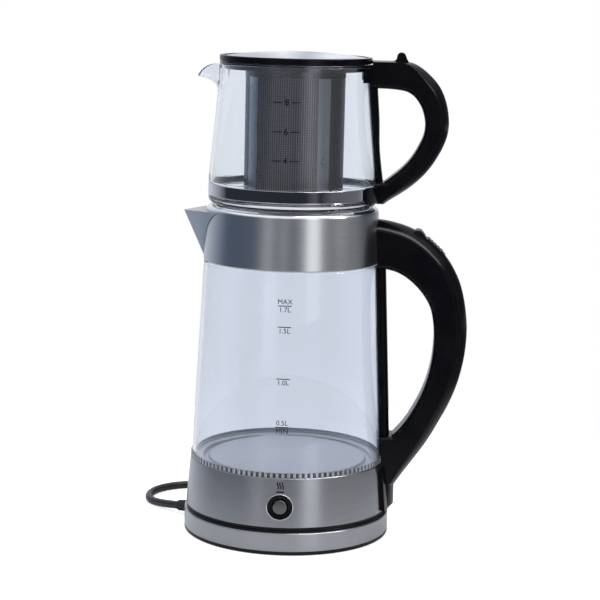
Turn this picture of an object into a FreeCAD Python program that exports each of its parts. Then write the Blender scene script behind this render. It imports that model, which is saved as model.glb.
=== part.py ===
import FreeCAD, Part
import math
import os
import re

import Sketcher

# Automatic tea maker: a glass teapot with an infuser stands on a glass kettle,
# which stands on a round power base. Millimetres, +Z up. The origin is on the
# kettle's axis at the standing surface. The handles point to +X, the pouring
# spouts to -X, and the switch and the level marks face -Y.

Vector = FreeCAD.Vector
Rotation = FreeCAD.Rotation
Placement = FreeCAD.Placement
X_AXIS = Vector(1, 0, 0)
Y_AXIS = Vector(0, 1, 0)
Z_AXIS = Vector(0, 0, 1)
ORIGIN = Vector(0, 0, 0)

doc = FreeCAD.newDocument("TeaMaker")
sheet = doc.addObject("Spreadsheet::Sheet", "Sizes")

DRIVING_SIZES = (
    # clearances and materials
    ("seat_gap", 0.1),
    ("rest_gap", 0.3),
    ("run_gap", 0.08),
    ("steel_wall", 0.8),
    # power base
    ("base_radius", 77.3),
    ("rim_low", 0.4),
    ("rim_top", 3.1),
    ("base_ring_high", 13.7),
    ("tray_wall", 2.0),
    ("tray_floor", 2.0),
    ("ring_lip", 2.1),
    ("foot_inset", 6.3),
    ("foot_wide", 5.0),
    ("deck_proud", 1.4),
    ("deck_wall", 2.2),
    ("post_radius", 15.9),
    ("post_flange", 22.0),
    ("post_high", 14.8),
    ("channel_inner", 8.0),
    ("channel_outer", 12.0),
    ("channel_deep", 10.0),
    ("earth_bore", 3.4),
    ("pillar_circle", 46.0),
    ("pillar_radius", 3.6),
    ("screw_radius", 1.5),
    ("screw_long", 9.0),
    ("screw_head", 2.9),
    ("screw_head_high", 1.6),
    # mains cord
    ("cord_diameter", 6.0),
    ("relief_long", 24.0),
    ("relief_root", 4.4),
    ("coil_radius", 31.0),
    ("coil_turns", 3),
    ("plug_radius", 19.5),
    ("plug_high", 27.0),
    ("pin_radius", 2.4),
    ("pin_long", 19.0),
    ("pin_pitch", 19.0),
    # coupler
    ("socket_outer", 20.9),
    ("socket_flange", 23.4),
    ("socket_roof", 3.5),
    # kettle
    ("cover_edge", 2.3),
    ("cover_wall", 3.0),
    ("shell_step", 1.2),
    ("shell_draw", 2.9),
    ("shell_high", 36.0),
    ("shell_lip", 7.2),
    ("trim_high", 3.7),
    ("trim_step", 0.2),
    ("tooth_deep", 0.7),
    ("teeth", 108),
    ("glass_step", 0.8),
    ("glass_draw", 7.0),
    ("glass_wall", 2.5),
    ("glass_high", 146.4),
    ("neck_step", 1.8),
    ("neck_high", 8.5),
    ("plate_inset", 13.2),
    ("plate_drop", 1.8),
    ("groove_wide", 3.2),
    ("groove_deep", 2.4),
    ("plate_sheet", 0.8),
    ("spreader_inset", 5.2),
    ("spreader_thick", 2.2),
    ("element_inset", 10.0),
    ("element_tube", 3.3),
    ("housing_radius", 31.0),
    ("housing_rise", 8.5),
    ("collar_gap", 1.9),
    ("collar_proud", 0.4),
    ("collar_high", 36.7),
    ("collar_draw", 1.9),
    ("roll_high", 4.1),
    ("mouth_inset", 6.1),
    ("seat_drop", 7.5),
    ("seat_wide", 7.8),
    ("seat_ring_thick", 2.0),
    ("spout_reach", 16.1),
    ("spout_rise", 4.1),
    ("spout_spread", 35.98),
    # power switch
    ("switch_rise", 15.2),
    ("bezel_radius", 9.2),
    ("bezel_proud", 1.0),
    ("bezel_ring_wide", 0.7),
    ("cap_radius", 5.3),
    ("cap_proud", 1.9),
    # kettle handle
    ("handle_wide", 28.0),
    ("grip_reach", 64.7),
    ("foot_proud", 5.4),
    ("bevel_depth", 4.0),
    ("foot_flange_half", 22.0),
    ("foot_flange_thick", 2.6),
    ("foot_flange_high", 31.0),
    ("spine_wide", 15.0),
    ("spine_proud", 5.2),
    ("release_wide", 14.0),
    ("release_travel", 2.5),
    # teapot
    ("pot_foot_gap", 1.8),
    ("pot_foot_wide", 4.0),
    ("pot_foot_high", 5.4),
    ("pot_flare", 6.6),
    ("band_proud", 0.4),
    ("band_rise", 6.2),
    ("band_high", 8.6),
    ("band_thick", 0.7),
    ("shoulder_rise", 4.4),
    ("pot_side_high", 63.7),
    ("pot_draw", 6.1),
    ("pot_neck_high", 18.9),
    ("pot_neck_draw", 0.6),
    ("pot_wall", 2.2),
    ("pot_base_thick", 2.6),
    ("lip_reach", 16.0),
    ("lip_deep", 15.5),
    ("lip_drop", 7.0),
    ("lip_half", 17.0),
    ("basket_radius", 37.1),
    ("basket_clear", 8.7),
    ("basket_wall", 0.8),
    ("infuser_gap", 1.3),
    ("infuser_neck_wall", 1.8),
    ("infuser_drop", 3.4),
    ("infuser_flange", 1.4),
    ("lid_step", 0.2),
    ("lid_gap", 0.6),
    ("lid_rim_high", 4.4),
    ("dome_inset", 3.5),
    ("dome_rise", 4.0),
    ("dome_wall", 1.0),
    ("seal_gap", 1.0),
    # teapot handle
    ("pot_handle_wide", 24.0),
    ("pot_handle_rise", 4.6),
    ("pot_grip_reach", 54.6),
    ("pot_spine_wide", 18.0),
    ("clamp_half", 31.0),
    ("clamp_thick", 2.0),
    ("hinge_out", 10.4),
    ("hinge_pin_radius", 1.45),
    ("lever_wide", 9.6),
    ("lever_long", 16.1),
    ("knob_high", 6.8),
)
# heights and radii that follow from the driving sizes
RING_TOP = "(rim_top + base_ring_high)"
FLOOR_TOP = "(rim_low + tray_floor + 1.6)"
RING_INNER = "(base_radius - steel_wall)"
DECK_RADIUS = "(base_radius - ring_lip - seat_gap)"
DECK_TOP = f"({RING_TOP} + deck_proud)"
DECK_LOW = f"({RING_TOP} - steel_wall - 1.1)"
COVER_LOW = f"({DECK_TOP} + rest_gap)"
SHELL_LOW = f"({COVER_LOW} + cover_edge)"
SHELL_TOP = f"({SHELL_LOW} + shell_high)"
SHELL_TAPER = "((shell_low_radius - shell_top_radius) / shell_high)"
TRIM_TOP = f"({SHELL_TOP} + trim_high)"
GLASS_LOW = f"({SHELL_TOP} + 1.8)"
GLASS_TAPER = f"((glass_low_radius - glass_top_radius) / (glass_top - {GLASS_LOW}))"
NECK_RADIUS = "(glass_top_radius - neck_step)"
NECK_TOP = "(glass_top + neck_high)"
PLATE_TOP = f"({SHELL_TOP} - plate_drop)"
SPREADER_TOP = f"({PLATE_TOP} - plate_sheet - seat_gap)"
SPREADER_LOW = f"({SPREADER_TOP} - spreader_thick)"
ROLL_TOP = "(collar_top + roll_high)"
SEAT_LOW = f"({ROLL_TOP} - seat_drop)"
SEAT_TOP = f"({SEAT_LOW} + steel_wall + seat_gap + seat_ring_thick)"
POT_LOW = f"({SEAT_TOP} + rest_gap)"
POT_BASE = f"({POT_LOW} + pot_foot_high)"
BAND_TOP = "(band_low + band_high)"
BAND_GLASS = "(band_radius - band_thick - seat_gap)"
INFUSER_TOP = "(pot_rim + seat_gap + infuser_flange)"
RIM_TOP = "(lid_low + lid_rim_high)"
SWITCH_Y = f"(shell_low_radius - (switch_high - {SHELL_LOW}) * {SHELL_TAPER})"

# each piece takes its place from the piece that carries it
FOLLOWING_SIZES = (
    ("foot_outer", "base_radius - foot_inset"),
    ("foot_inner", "foot_outer - foot_wide"),
    ("post_top", f"{DECK_TOP} + post_high"),
    ("socket_top", "post_top + socket_roof"),
    ("housing_top", "socket_top + housing_rise"),
    ("shell_low_radius", "base_radius - shell_step"),
    ("shell_top_radius", "shell_low_radius - shell_draw"),
    ("trim_radius", "shell_top_radius - trim_step"),
    ("glass_low_radius", "shell_top_radius - glass_step"),
    ("glass_top_radius", "glass_low_radius - glass_draw"),
    ("glass_top", f"{GLASS_LOW} + glass_high"),
    ("plate_radius", "glass_low_radius - plate_inset"),
    ("spreader_radius", "plate_radius - spreader_inset"),
    ("element_ring", "spreader_radius - element_inset"),
    ("switch_high", f"{SHELL_LOW} + switch_rise"),
    ("collar_low", "glass_top + collar_gap"),
    ("collar_low_radius", "glass_top_radius + collar_proud"),
    ("collar_top", "collar_low + collar_high"),
    ("collar_top_radius", "collar_low_radius - collar_draw"),
    ("mouth_radius", "collar_top_radius - mouth_inset"),
    ("seat_inner", "mouth_radius - seat_wide"),
    ("spout_tip", "collar_top_radius + spout_reach"),
    ("spout_low", "collar_low + spout_rise"),
    ("spout_half", "(collar_top_radius + seat_gap) * sin(spout_spread)"),
    ("spout_root", "(collar_top_radius + seat_gap) * cos(spout_spread)"),
    ("pot_foot_radius", "mouth_radius - pot_foot_gap"),
    ("pot_foot_inner", "pot_foot_radius - pot_foot_wide"),
    ("pot_low_radius", "pot_foot_radius + pot_flare"),
    ("band_radius", "pot_low_radius + band_proud"),
    ("band_low", f"{POT_BASE} + band_rise"),
    ("pot_shoulder", f"{BAND_TOP} + shoulder_rise"),
    ("pot_neck", "pot_shoulder + pot_side_high"),
    ("pot_neck_radius", "band_radius - pot_draw"),
    ("pot_rim", "pot_neck + pot_neck_high"),
    ("pot_rim_radius", "pot_neck_radius - pot_neck_draw"),
    ("lip_tip", "pot_rim_radius + lip_reach"),
    ("lip_low", "pot_rim - lip_deep"),
    ("lip_high", "pot_rim - lip_drop"),
    ("basket_low", f"{POT_BASE} + basket_clear"),
    ("infuser_neck", "pot_rim_radius - pot_wall - infuser_gap"),
    ("lid_radius", "pot_rim_radius - lid_step"),
    ("lid_low", f"{INFUSER_TOP} + lid_gap"),
    ("dome_radius", "lid_radius - dome_inset"),
    ("seal_radius", "infuser_neck - infuser_neck_wall - seal_gap"),
    ("pot_handle_top", "pot_rim + pot_handle_rise"),
    ("hinge_x", "lid_radius + hinge_out"),
    ("hinge_z", "pot_rim"),
    ("lever_reach", "hinge_x + lever_long"),
)
ALIASES = {alias for alias, value in DRIVING_SIZES + FOLLOWING_SIZES}
for line, (alias, value) in enumerate(DRIVING_SIZES + FOLLOWING_SIZES, start=1):
    sheet.set(f"A{line}", alias)
    sheet.set(f"B{line}", f"={value}")
    sheet.setAlias(f"B{line}", alias)
doc.recompute()

made = []


def bound(expression):
    """The expression with each of the sheet's aliases named in full."""
    return re.sub(
        r"[a-z][a-z0-9_]*",
        lambda word: f"Sizes.{word.group()}" if word.group() in ALIASES else word.group(),
        str(expression),
    )


def mm(expression):
    """The present value of an expression of the sheet's sizes."""
    return float(sheet.evalExpression(bound(expression)))


def keep(label, item):
    """Name a finished sub-part and list it for the export."""
    item.Label = label
    made.append(item)
    return item


def origin_plane(body, role):
    return next(item for item in body.Origin.OriginFeatures if item.Role == role)


def sketch_on(body, name, role, lift=None):
    """A sketch on one of the body's origin planes, lifted along its normal."""
    sketch = body.newObject("Sketcher::SketchObject", name)
    sketch.AttachmentSupport = [(origin_plane(body, role), "")]
    sketch.MapMode = "FlatFace"
    if lift is not None:
        sketch.setExpression("AttachmentOffset.Base.z", bound(lift))
    return sketch


def hold(sketch, kind, geometry, point, expression, value):
    """Tie one coordinate of a sketch point to the sheet."""
    index = sketch.addConstraint(Sketcher.Constraint(kind, -1, 1, geometry, point, value))
    sketch.setExpression(f"Constraints[{index}]", bound(expression))


def polygon(sketch, corners):
    """A closed outline whose corners are all tied to the sheet."""
    spots = [Vector(mm(across), mm(along), 0) for across, along in corners]
    count = len(spots)
    for index in range(count):
        sketch.addGeometry(Part.LineSegment(spots[index], spots[(index + 1) % count]), False)
    for index in range(count):
        follower = (index + 1) % count
        sketch.addConstraint(Sketcher.Constraint("Coincident", index, 2, follower, 1))
    for index, (across, along) in enumerate(corners):
        hold(sketch, "DistanceX", index, 1, across, spots[index].x)
        hold(sketch, "DistanceY", index, 1, along, spots[index].y)


def circles(sketch, rings):
    """Circles given as (x, y, radius), all tied to the sheet."""
    for index, (across, along, radius) in enumerate(rings):
        centre = Vector(mm(across), mm(along), 0)
        sketch.addGeometry(Part.Circle(centre, Z_AXIS, mm(radius)), False)
        hold(sketch, "DistanceX", index, 3, across, centre.x)
        hold(sketch, "DistanceY", index, 3, along, centre.y)
        size = sketch.addConstraint(Sketcher.Constraint("Radius", index, mm(radius)))
        sketch.setExpression(f"Constraints[{size}]", bound(radius))


def ring_edges(feature, rings):
    """Names of the circular edges at the given (radius, height) pairs."""
    wanted = [(mm(radius), mm(height)) for radius, height in rings]
    names = []
    for index, edge in enumerate(feature.Shape.Edges, start=1):
        if not isinstance(edge.Curve, Part.Circle):
            continue
        centre = edge.Curve.Center
        for radius, height in wanted:
            if abs(edge.Curve.Radius - radius) < 0.02 and abs(centre.z - height) < 0.02:
                names.append(f"Edge{index}")
    return names


def turned(label, profile, rounds=()):
    """A body turned about its Z axis from (radius, height) corners.

    Each entry of rounds is (radius, [(ring radius, ring height), ...]).
    """
    body = doc.addObject("PartDesign::Body", label)
    sketch = sketch_on(body, f"{label}_profile", "XZ_Plane")
    polygon(sketch, profile)
    turn = body.newObject("PartDesign::Revolution", f"{label}_turn")
    turn.Profile = sketch
    turn.ReferenceAxis = (sketch, ["V_Axis"])
    turn.Angle = 360
    doc.recompute()
    last = turn
    for number, (size, rings) in enumerate(rounds):
        fillet = body.newObject("PartDesign::Fillet", f"{label}_round_{number}")
        fillet.Base = (last, ring_edges(last, rings))
        fillet.setExpression("Radius", bound(size))
        doc.recompute()
        last = fillet
    return keep(label, body)


def ring(label, inner, outer, low, high, rounds=()):
    """A plain turned ring."""
    corners = ((inner, low), (outer, low), (outer, high), (inner, high))
    return turned(label, corners, rounds)


def drill(body, name, rings, low, high, solid=False, role="XY_Plane", flip=False):
    """Pockets, or pads where solid is set, of circles from low to high."""
    sketch = sketch_on(body, f"{name}_sketch", role, high if not solid else low)
    circles(sketch, rings)
    kind = "PartDesign::Pad" if solid else "PartDesign::Pocket"
    feature = body.newObject(kind, name)
    feature.Profile = sketch
    feature.setExpression("Length", bound(f"({high}) - ({low})"))
    feature.Reversed = flip
    doc.recompute()
    return feature


def round_the_axis(circle, count, first=0):
    """Centres evenly spaced on a circle, as pairs of expressions."""
    turns = [first + 360 * index / count for index in range(count)]
    return [(f"({circle}) * cos({turn})", f"({circle}) * sin({turn})") for turn in turns]


def rod(label, radius, length, where, turn=None):
    """A Part cylinder from where, along Z or turned by (axis, degrees)."""
    item = doc.addObject("Part::Cylinder", label)
    item.setExpression("Radius", bound(radius))
    item.setExpression("Height", bound(length))
    if turn is not None:
        item.Placement = Placement(ORIGIN, Rotation(*turn))
    for axis, place in zip("xyz", where):
        item.setExpression(f"Placement.Base.{axis}", bound(place))
    return item


def block(label, sizes, where):
    """A Part box of three sizes with its lowest corner at where."""
    item = doc.addObject("Part::Box", label)
    for edge, size in zip(("Length", "Width", "Height"), sizes):
        item.setExpression(edge, bound(size))
    for axis, place in zip("xyz", where):
        item.setExpression(f"Placement.Base.{axis}", bound(place))
    return item


def cut_away(label, base, tool):
    item = doc.addObject("Part::Cut", label)
    item.Base = base
    item.Tool = tool
    return item


def joined(label, pieces):
    item = doc.addObject("Part::MultiFuse", label)
    item.Shapes = pieces
    return item


def group(label, pieces):
    """Separate solids that share one node."""
    item = doc.addObject("Part::Compound", label)
    item.Links = pieces
    return keep(label, item)


def plain(label, shape):
    """A sub-part whose shape is set from the sheet by this file's own code."""
    item = doc.addObject("Part::Feature", label)
    item.Shape = shape
    return keep(label, item)


def lathe(corners):
    """A solid turned about Z from (radius, height) pairs in millimetres."""
    spots = [Vector(radius, 0, height) for radius, height in corners]
    face = Part.Face(Part.makePolygon(spots + spots[:1]))
    return face.revolve(ORIGIN, Z_AXIS, 360)


def slab(low, high):
    """A box between two corners."""
    size = high - low
    return Part.makeBox(size.x, size.y, size.z, low)


def wall_of(corners, wide):
    """A flat outline in XZ, of edges in order, extruded wide about y = 0."""
    face = Part.Face(Part.Wire(corners))
    face.translate(Vector(0, wide / 2, 0))
    solid = face.extrude(Vector(0, -wide, 0))
    return solid


def line(start, end):
    return Part.LineSegment(Vector(start[0], 0, start[1]), Vector(end[0], 0, end[1])).toShape()


def curve(points):
    """A smooth edge through (x, z) points."""
    spline = Part.BSplineCurve()
    spline.interpolate([Vector(x, 0, z) for x, z in points])
    return spline.toShape()


# ---------------------------------------------------------------- power base

base_tray = turned(
    "base_tray",
    (
        ("0", "rim_low + 1.6"),
        ("foot_inner - 2", "rim_low + 1.6"),
        ("foot_inner - 2", "rim_low"),
        ("foot_inner", "rim_low"),
        ("foot_inner", "rim_low + 1"),
        ("foot_outer", "rim_low + 1"),
        ("foot_outer", "rim_low"),
        ("base_radius", "rim_low"),
        ("base_radius", "rim_top"),
        (f"{RING_INNER} - seat_gap", "rim_top"),
        (f"{RING_INNER} - seat_gap", f"{DECK_LOW} - seat_gap"),
        (f"{RING_INNER} - seat_gap - tray_wall", f"{DECK_LOW} - seat_gap"),
        (f"{RING_INNER} - seat_gap - tray_wall", FLOOR_TOP),
        ("0", FLOOR_TOP),
    ),
    [("0.8", [("base_radius", "rim_low")])],
)
SCREW_PLACES = round_the_axis("pillar_circle", 3, 30)
drill(
    base_tray,
    "tray_screw_holes",
    [(x, y, "screw_radius + seat_gap") for x, y in SCREW_PLACES],
    "rim_low",
    f"{FLOOR_TOP} + 1",
)
drill(
    base_tray,
    "tray_head_recesses",
    [(x, y, "screw_head + seat_gap") for x, y in SCREW_PLACES],
    "rim_low",
    "rim_low + 1.6 + screw_head_high",
)

ring("base_foot_ring", "foot_inner + seat_gap", "foot_outer - seat_gap", "0", "rim_low + 0.9")

base_steel_ring = turned(
    "base_steel_ring",
    (
        (RING_INNER, "rim_top + seat_gap"),
        ("base_radius", "rim_top + seat_gap"),
        ("base_radius", RING_TOP),
        ("base_radius - ring_lip", RING_TOP),
        ("base_radius - ring_lip", f"{RING_TOP} - steel_wall"),
        (RING_INNER, f"{RING_TOP} - steel_wall"),
    ),
    [("0.6", [("base_radius", RING_TOP)])],
)

base_deck = turned(
    "base_deck",
    (
        ("post_radius + 1.4", f"{DECK_TOP} - deck_wall"),
        (f"{DECK_RADIUS} - 2", f"{DECK_TOP} - deck_wall"),
        (f"{DECK_RADIUS} - 2", DECK_LOW),
        (DECK_RADIUS, DECK_LOW),
        (DECK_RADIUS, DECK_TOP),
        ("post_radius + 1.4", DECK_TOP),
    ),
    [("0.6", [(DECK_RADIUS, DECK_TOP)])],
)
drill(
    base_deck,
    "deck_pillars",
    [(x, y, "pillar_radius") for x, y in SCREW_PLACES],
    f"{FLOOR_TOP} + seat_gap",
    f"{DECK_TOP} - deck_wall + 0.5",
    solid=True,
)
drill(
    base_deck,
    "deck_pillar_bores",
    [(x, y, "screw_radius + seat_gap") for x, y in SCREW_PLACES],
    FLOOR_TOP,
    f"{DECK_TOP} - deck_wall - 2",
)

turned(
    "connector_post",
    (
        ("0", f"{FLOOR_TOP} + seat_gap"),
        ("post_flange", f"{FLOOR_TOP} + seat_gap"),
        ("post_flange", f"{DECK_TOP} - deck_wall - seat_gap"),
        ("post_radius + 1.3", f"{DECK_TOP} - deck_wall - seat_gap"),
        ("post_radius + 1.3", f"{DECK_TOP} - 0.4"),
        ("post_radius", f"{DECK_TOP} - 0.4"),
        ("post_radius", "post_top"),
        ("channel_outer", "post_top"),
        ("channel_outer", "post_top - channel_deep"),
        ("channel_inner", "post_top - channel_deep"),
        ("channel_inner", "post_top"),
        ("earth_bore", "post_top"),
        ("earth_bore", "post_top - channel_deep"),
        ("0", "post_top - channel_deep"),
    ),
    [("0.8", [("post_radius", "post_top")])],
)


def contact_tube(label, outer, wall, low, high):
    """A thin metal sleeve inside the connector post."""
    solid = rod(f"{label}_solid", outer, f"({high}) - ({low})", ("0", "0", low))
    bore = rod(f"{label}_bore", f"({outer}) - ({wall})", f"({high}) - ({low})", ("0", "0", low))
    return cut_away(label, solid, bore)


CONTACT_LOW = "post_top - channel_deep + seat_gap"
group(
    "post_contacts",
    [
        contact_tube("live_ring", "channel_outer - seat_gap", "0.6", CONTACT_LOW, "post_top - 1"),
        contact_tube("neutral_ring", "channel_inner + 0.7", "0.6", CONTACT_LOW, "post_top - 1"),
        rod("earth_pin", "1.6", "channel_deep - 1", ("0", "0", CONTACT_LOW)),
    ],
)


def screw(label, x, y, low, length, head_down=True):
    """A pan head screw standing along Z, its head at the low or the high end."""
    shank = rod(f"{label}_shank", "screw_radius", length, (x, y, low))
    head_z = low if head_down else f"({low}) + ({length}) - screw_head_high"
    head = rod(f"{label}_head", "screw_head", "screw_head_high", (x, y, head_z))
    return joined(label, [shank, head])


group(
    "base_screws",
    [
        screw(f"base_screw_{index}", x, y, "rim_low + 1.6", "11")
        for index, (x, y) in enumerate(SCREW_PLACES)
    ],
)

# ---------------------------------------------------------------- mains cord

CORD_RADIUS = "cord_diameter / 2"
# the route where the cord lies free, from the relief's tip to the coil
CORD_ROUTE = (
    Vector(-85.1, 24.3, 6.5),
    Vector(-107.5, 40.0, 3.0),
    Vector(-115.5, 63.0, 3.0),
    Vector(-108.5, 85.5, 3.0),
    Vector(-89.0, 99.5, 3.0),
    Vector(-63.0, 101.5, 3.0),
    Vector(-47.0, 101.5, 3.0),
)
COIL_AXIS_X = -26.0
TAIL_START_X = -5.0
PLUG_X = 46.0
LANE_Y = CORD_ROUTE[-1].y
ARC_SHARE = 0.45


def bend(before, corner, after):
    """Start, middle and end of the arc that rounds one corner, and its radius."""
    to_before = before - corner
    to_after = after - corner
    reach = ARC_SHARE * min(to_before.Length, to_after.Length)
    to_before.normalize()
    to_after.normalize()
    half_turn = (math.pi - to_before.getAngle(to_after)) / 2
    radius = reach / math.tan(half_turn)
    inward = to_before + to_after
    inward.normalize()
    middle = corner + inward * (radius / math.cos(half_turn) - radius)
    return corner + to_before * reach, middle, corner + to_after * reach, radius


def round_tube(route, radius):
    """A tube along straight runs joined by tangent arcs."""
    edges = []
    radii = []
    here = route[0]
    for before, corner, after in zip(route, route[1:], route[2:]):
        start, middle, end, arc = bend(before, corner, after)
        edges.append(Part.LineSegment(here, start).toShape())
        edges.append(Part.Arc(start, middle, end).toShape())
        radii.append(arc)
        here = end
    edges.append(Part.LineSegment(here, route[-1]).toShape())
    path = Part.Wire(edges)
    ahead = route[1] - route[0]
    section = Part.Wire(Part.Circle(route[0], ahead, radius).toShape())
    tube = path.makePipeShell([section], True, False)
    expected = math.pi * radius**2 * path.Length
    print(f"cord tube {path.Length:.1f} mm, volume ratio {tube.Volume / expected:.4f}")
    print("cord radii " + ", ".join(f"{value:.1f}" for value in radii))
    return tube


power_cord = plain("power_cord", round_tube(CORD_ROUTE, mm(CORD_RADIUS)))

# the strain relief follows the cord's first run back into the base
exit_way = (CORD_ROUTE[1] - CORD_ROUTE[0]).normalize()
relief_root = CORD_ROUTE[0] - exit_way * mm("relief_long")
relief = Part.makeCone(
    mm("relief_root"), mm(CORD_RADIUS) + 0.4, mm("relief_long"), relief_root, exit_way
)
relief_flange = Part.makeCylinder(mm("relief_root") + 1.2, 1.6, relief_root, exit_way)
cord_gland = plain("cord_gland", relief.fuse(relief_flange).removeSplitter())
gland_hole = Part.makeCylinder(
    mm("relief_root + seat_gap"), mm("relief_long") + 2, relief_root + exit_way * 1.7, exit_way
)
flange_pocket = Part.makeCylinder(
    mm("relief_root") + 1.3, 3.4, relief_root - exit_way * 0.1, exit_way
)


def notch_for_cord(body, label):
    """The body with the way cut out for the strain relief."""
    made.remove(body)
    body.Label = f"{label}_blank"
    item = doc.addObject("Part::Feature", label)
    item.Shape = body.Shape.cut(gland_hole).cut(flange_pocket).removeSplitter()
    return keep(label, item)


notch_for_cord(base_tray, "base_tray")
notch_for_cord(base_steel_ring, "base_steel_ring")

# the three insulated leads run from the cord's end to the connector post
LEAD_RADIUS = 1.1
seat_space = mm("seat_gap")
lead_end = Vector(exit_way.x, exit_way.y, 0).normalize() * (mm("post_flange") + 0.1)
lead_solids = []
for side in (-1, 0, 1):
    across = Vector(-exit_way.y, exit_way.x, 0).normalize() * (side * 2.4)
    start = relief_root - exit_way * (LEAD_RADIUS + seat_space) + across
    finish = Vector(lead_end.x, lead_end.y, relief_root.z) + across
    run = finish - start
    lead = Part.makeCylinder(LEAD_RADIUS, run.Length, start, run)
    post = Part.makeCylinder(mm("post_flange") + 0.1, mm("post_top"))
    lead_solids.append(lead.cut(post))
base_leads = plain("base_leads", Part.makeCompound(lead_solids))

# a clip on the tray floor holds the leads
clip_at = relief_root - exit_way * 9
clip = slab(Vector(-3, -6.5, mm(FLOOR_TOP) + 0.1), Vector(3, 6.5, relief_root.z + 2.6))
clip.rotate(ORIGIN, Z_AXIS, math.degrees(math.atan2(exit_way.y, exit_way.x)))
clip.translate(Vector(clip_at.x, clip_at.y, 0))
for lead in lead_solids:
    clip = clip.cut(lead.makeOffsetShape(0.1, 0.001))
cord_clamp = plain("cord_clamp", clip)

# the coil of three turns, one on another, with a straight lead in and out
# it is drawn as a ring, a little fuller than its turns so that the leads end inside
COIL_FULL = 0.2
coil_height = mm("cord_diameter * coil_turns")
coil_centre = Vector(COIL_AXIS_X, LANE_Y + mm("coil_radius"), COIL_FULL)
coil_outer = mm(f"coil_radius + {CORD_RADIUS}") + COIL_FULL
coil_inner = mm(f"coil_radius - {CORD_RADIUS}") - COIL_FULL
coil_tall = coil_height - 2 * COIL_FULL
coil = Part.makeCylinder(coil_outer, coil_tall, coil_centre)
coil = coil.cut(Part.makeCylinder(coil_inner, coil_tall, coil_centre))
coil_top = coil_height - mm(CORD_RADIUS)
lead_in = Part.makeCylinder(
    mm(CORD_RADIUS), COIL_AXIS_X - CORD_ROUTE[-1].x, CORD_ROUTE[-1], X_AXIS
)
lead_out = Part.makeCylinder(
    mm(CORD_RADIUS), TAIL_START_X - COIL_AXIS_X, Vector(COIL_AXIS_X, LANE_Y, coil_top), X_AXIS
)
power_cord_coil = plain("power_cord_coil", coil.fuse([lead_in, lead_out]))

# the moulded plug lies on its back with the pins up
plug_centre = Vector(PLUG_X, LANE_Y, 0)
plug_relief = 20.0
tail_end_x = PLUG_X - mm("plug_radius") - plug_relief
tail = Part.makeCylinder(
    mm(CORD_RADIUS), tail_end_x - TAIL_START_X, Vector(TAIL_START_X, LANE_Y, coil_top), X_AXIS
)
power_cord_tail = plain("power_cord_tail", tail)

plug_shell = Part.makeCylinder(mm("plug_radius"), mm("plug_high"), plug_centre)
rim_edges = [
    edge
    for edge in plug_shell.Edges
    if isinstance(edge.Curve, Part.Circle)
]
plug_shell = plug_shell.makeFillet(2.0, rim_edges)
plug_neck = Part.makeCone(
    mm(CORD_RADIUS) + 0.8, 6.5, plug_relief + 4, Vector(tail_end_x, LANE_Y, coil_top), X_AXIS
)
plug_shell = plug_shell.fuse(plug_neck)
PIN_SINK = 6.0
pins = []
pin_holes = []
for side in (-1, 1):
    foot = plug_centre + Vector(0, side * mm("pin_pitch") / 2, mm("plug_high") - PIN_SINK)
    pin = Part.makeCylinder(mm("pin_radius"), mm("pin_long") + PIN_SINK, foot)
    tip = [edge for edge in pin.Edges if edge.BoundBox.ZMin > foot.z + mm("pin_long")]
    pins.append(pin.makeFillet(1.2, tip))
    pin_holes.append(Part.makeCylinder(mm("pin_radius") + 0.1, PIN_SINK + 0.1, foot))
clip_slots = []
earth_clips = []
for side in (-1, 1):
    edge_x = side * (mm("plug_radius") - 1.4)
    slot = slab(
        Vector(min(edge_x, side * 30), -3, mm("plug_high") - 15),
        Vector(max(edge_x, side * 30), 3, mm("plug_high") + 1),
    )
    slot.translate(plug_centre)
    clip_slots.append(slot)
    near = side * (mm("plug_radius") - 1.3)
    far = side * (mm("plug_radius") - 0.5)
    earth = slab(
        Vector(min(near, far), -2.6, mm("plug_high") - 14.8),
        Vector(max(near, far), 2.6, mm("plug_high") - 0.3),
    )
    earth.translate(plug_centre)
    earth_clips.append(earth)
plug_shell = plug_shell.cut(pin_holes + clip_slots)
plain("plug_body", plug_shell)
plain("plug_pins", Part.makeCompound(pins))
plain("plug_earth_clips", Part.makeCompound(earth_clips))

# ------------------------------------------------------------------- coupler

SOCKET_INNER = "post_radius + rest_gap"
turned(
    "coupler_socket",
    (
        (SOCKET_INNER, f"{COVER_LOW} + 0.4"),
        ("socket_outer", f"{COVER_LOW} + 0.4"),
        ("socket_outer", "socket_top - 2"),
        ("socket_flange", "socket_top - 2"),
        ("socket_flange", "socket_top"),
        ("0", "socket_top"),
        ("0", "post_top + rest_gap"),
        (SOCKET_INNER, "post_top + rest_gap"),
    ),
)

LEAF_MIDDLE = "(channel_inner + channel_outer) / 2"
leaves = [
    block(
        f"spring_leaf_{index}",
        ("1.2", "3", "7"),
        (f"{across} * ({LEAF_MIDDLE}) - 0.6", "-1.5", "post_top + rest_gap - 7"),
    )
    for index, across in enumerate((-1, 1))
]
earth_sleeve_out = rod("earth_sleeve_out", "2.8", "7", ("0", "0", "post_top + rest_gap - 7"))
earth_sleeve_bore = rod("earth_sleeve_bore", "1.9", "7", ("0", "0", "post_top + rest_gap - 7"))
group(
    "coupler_contacts",
    leaves + [cut_away("earth_sleeve", earth_sleeve_out, earth_sleeve_bore)],
)

# -------------------------------------------------------------------- kettle

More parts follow.
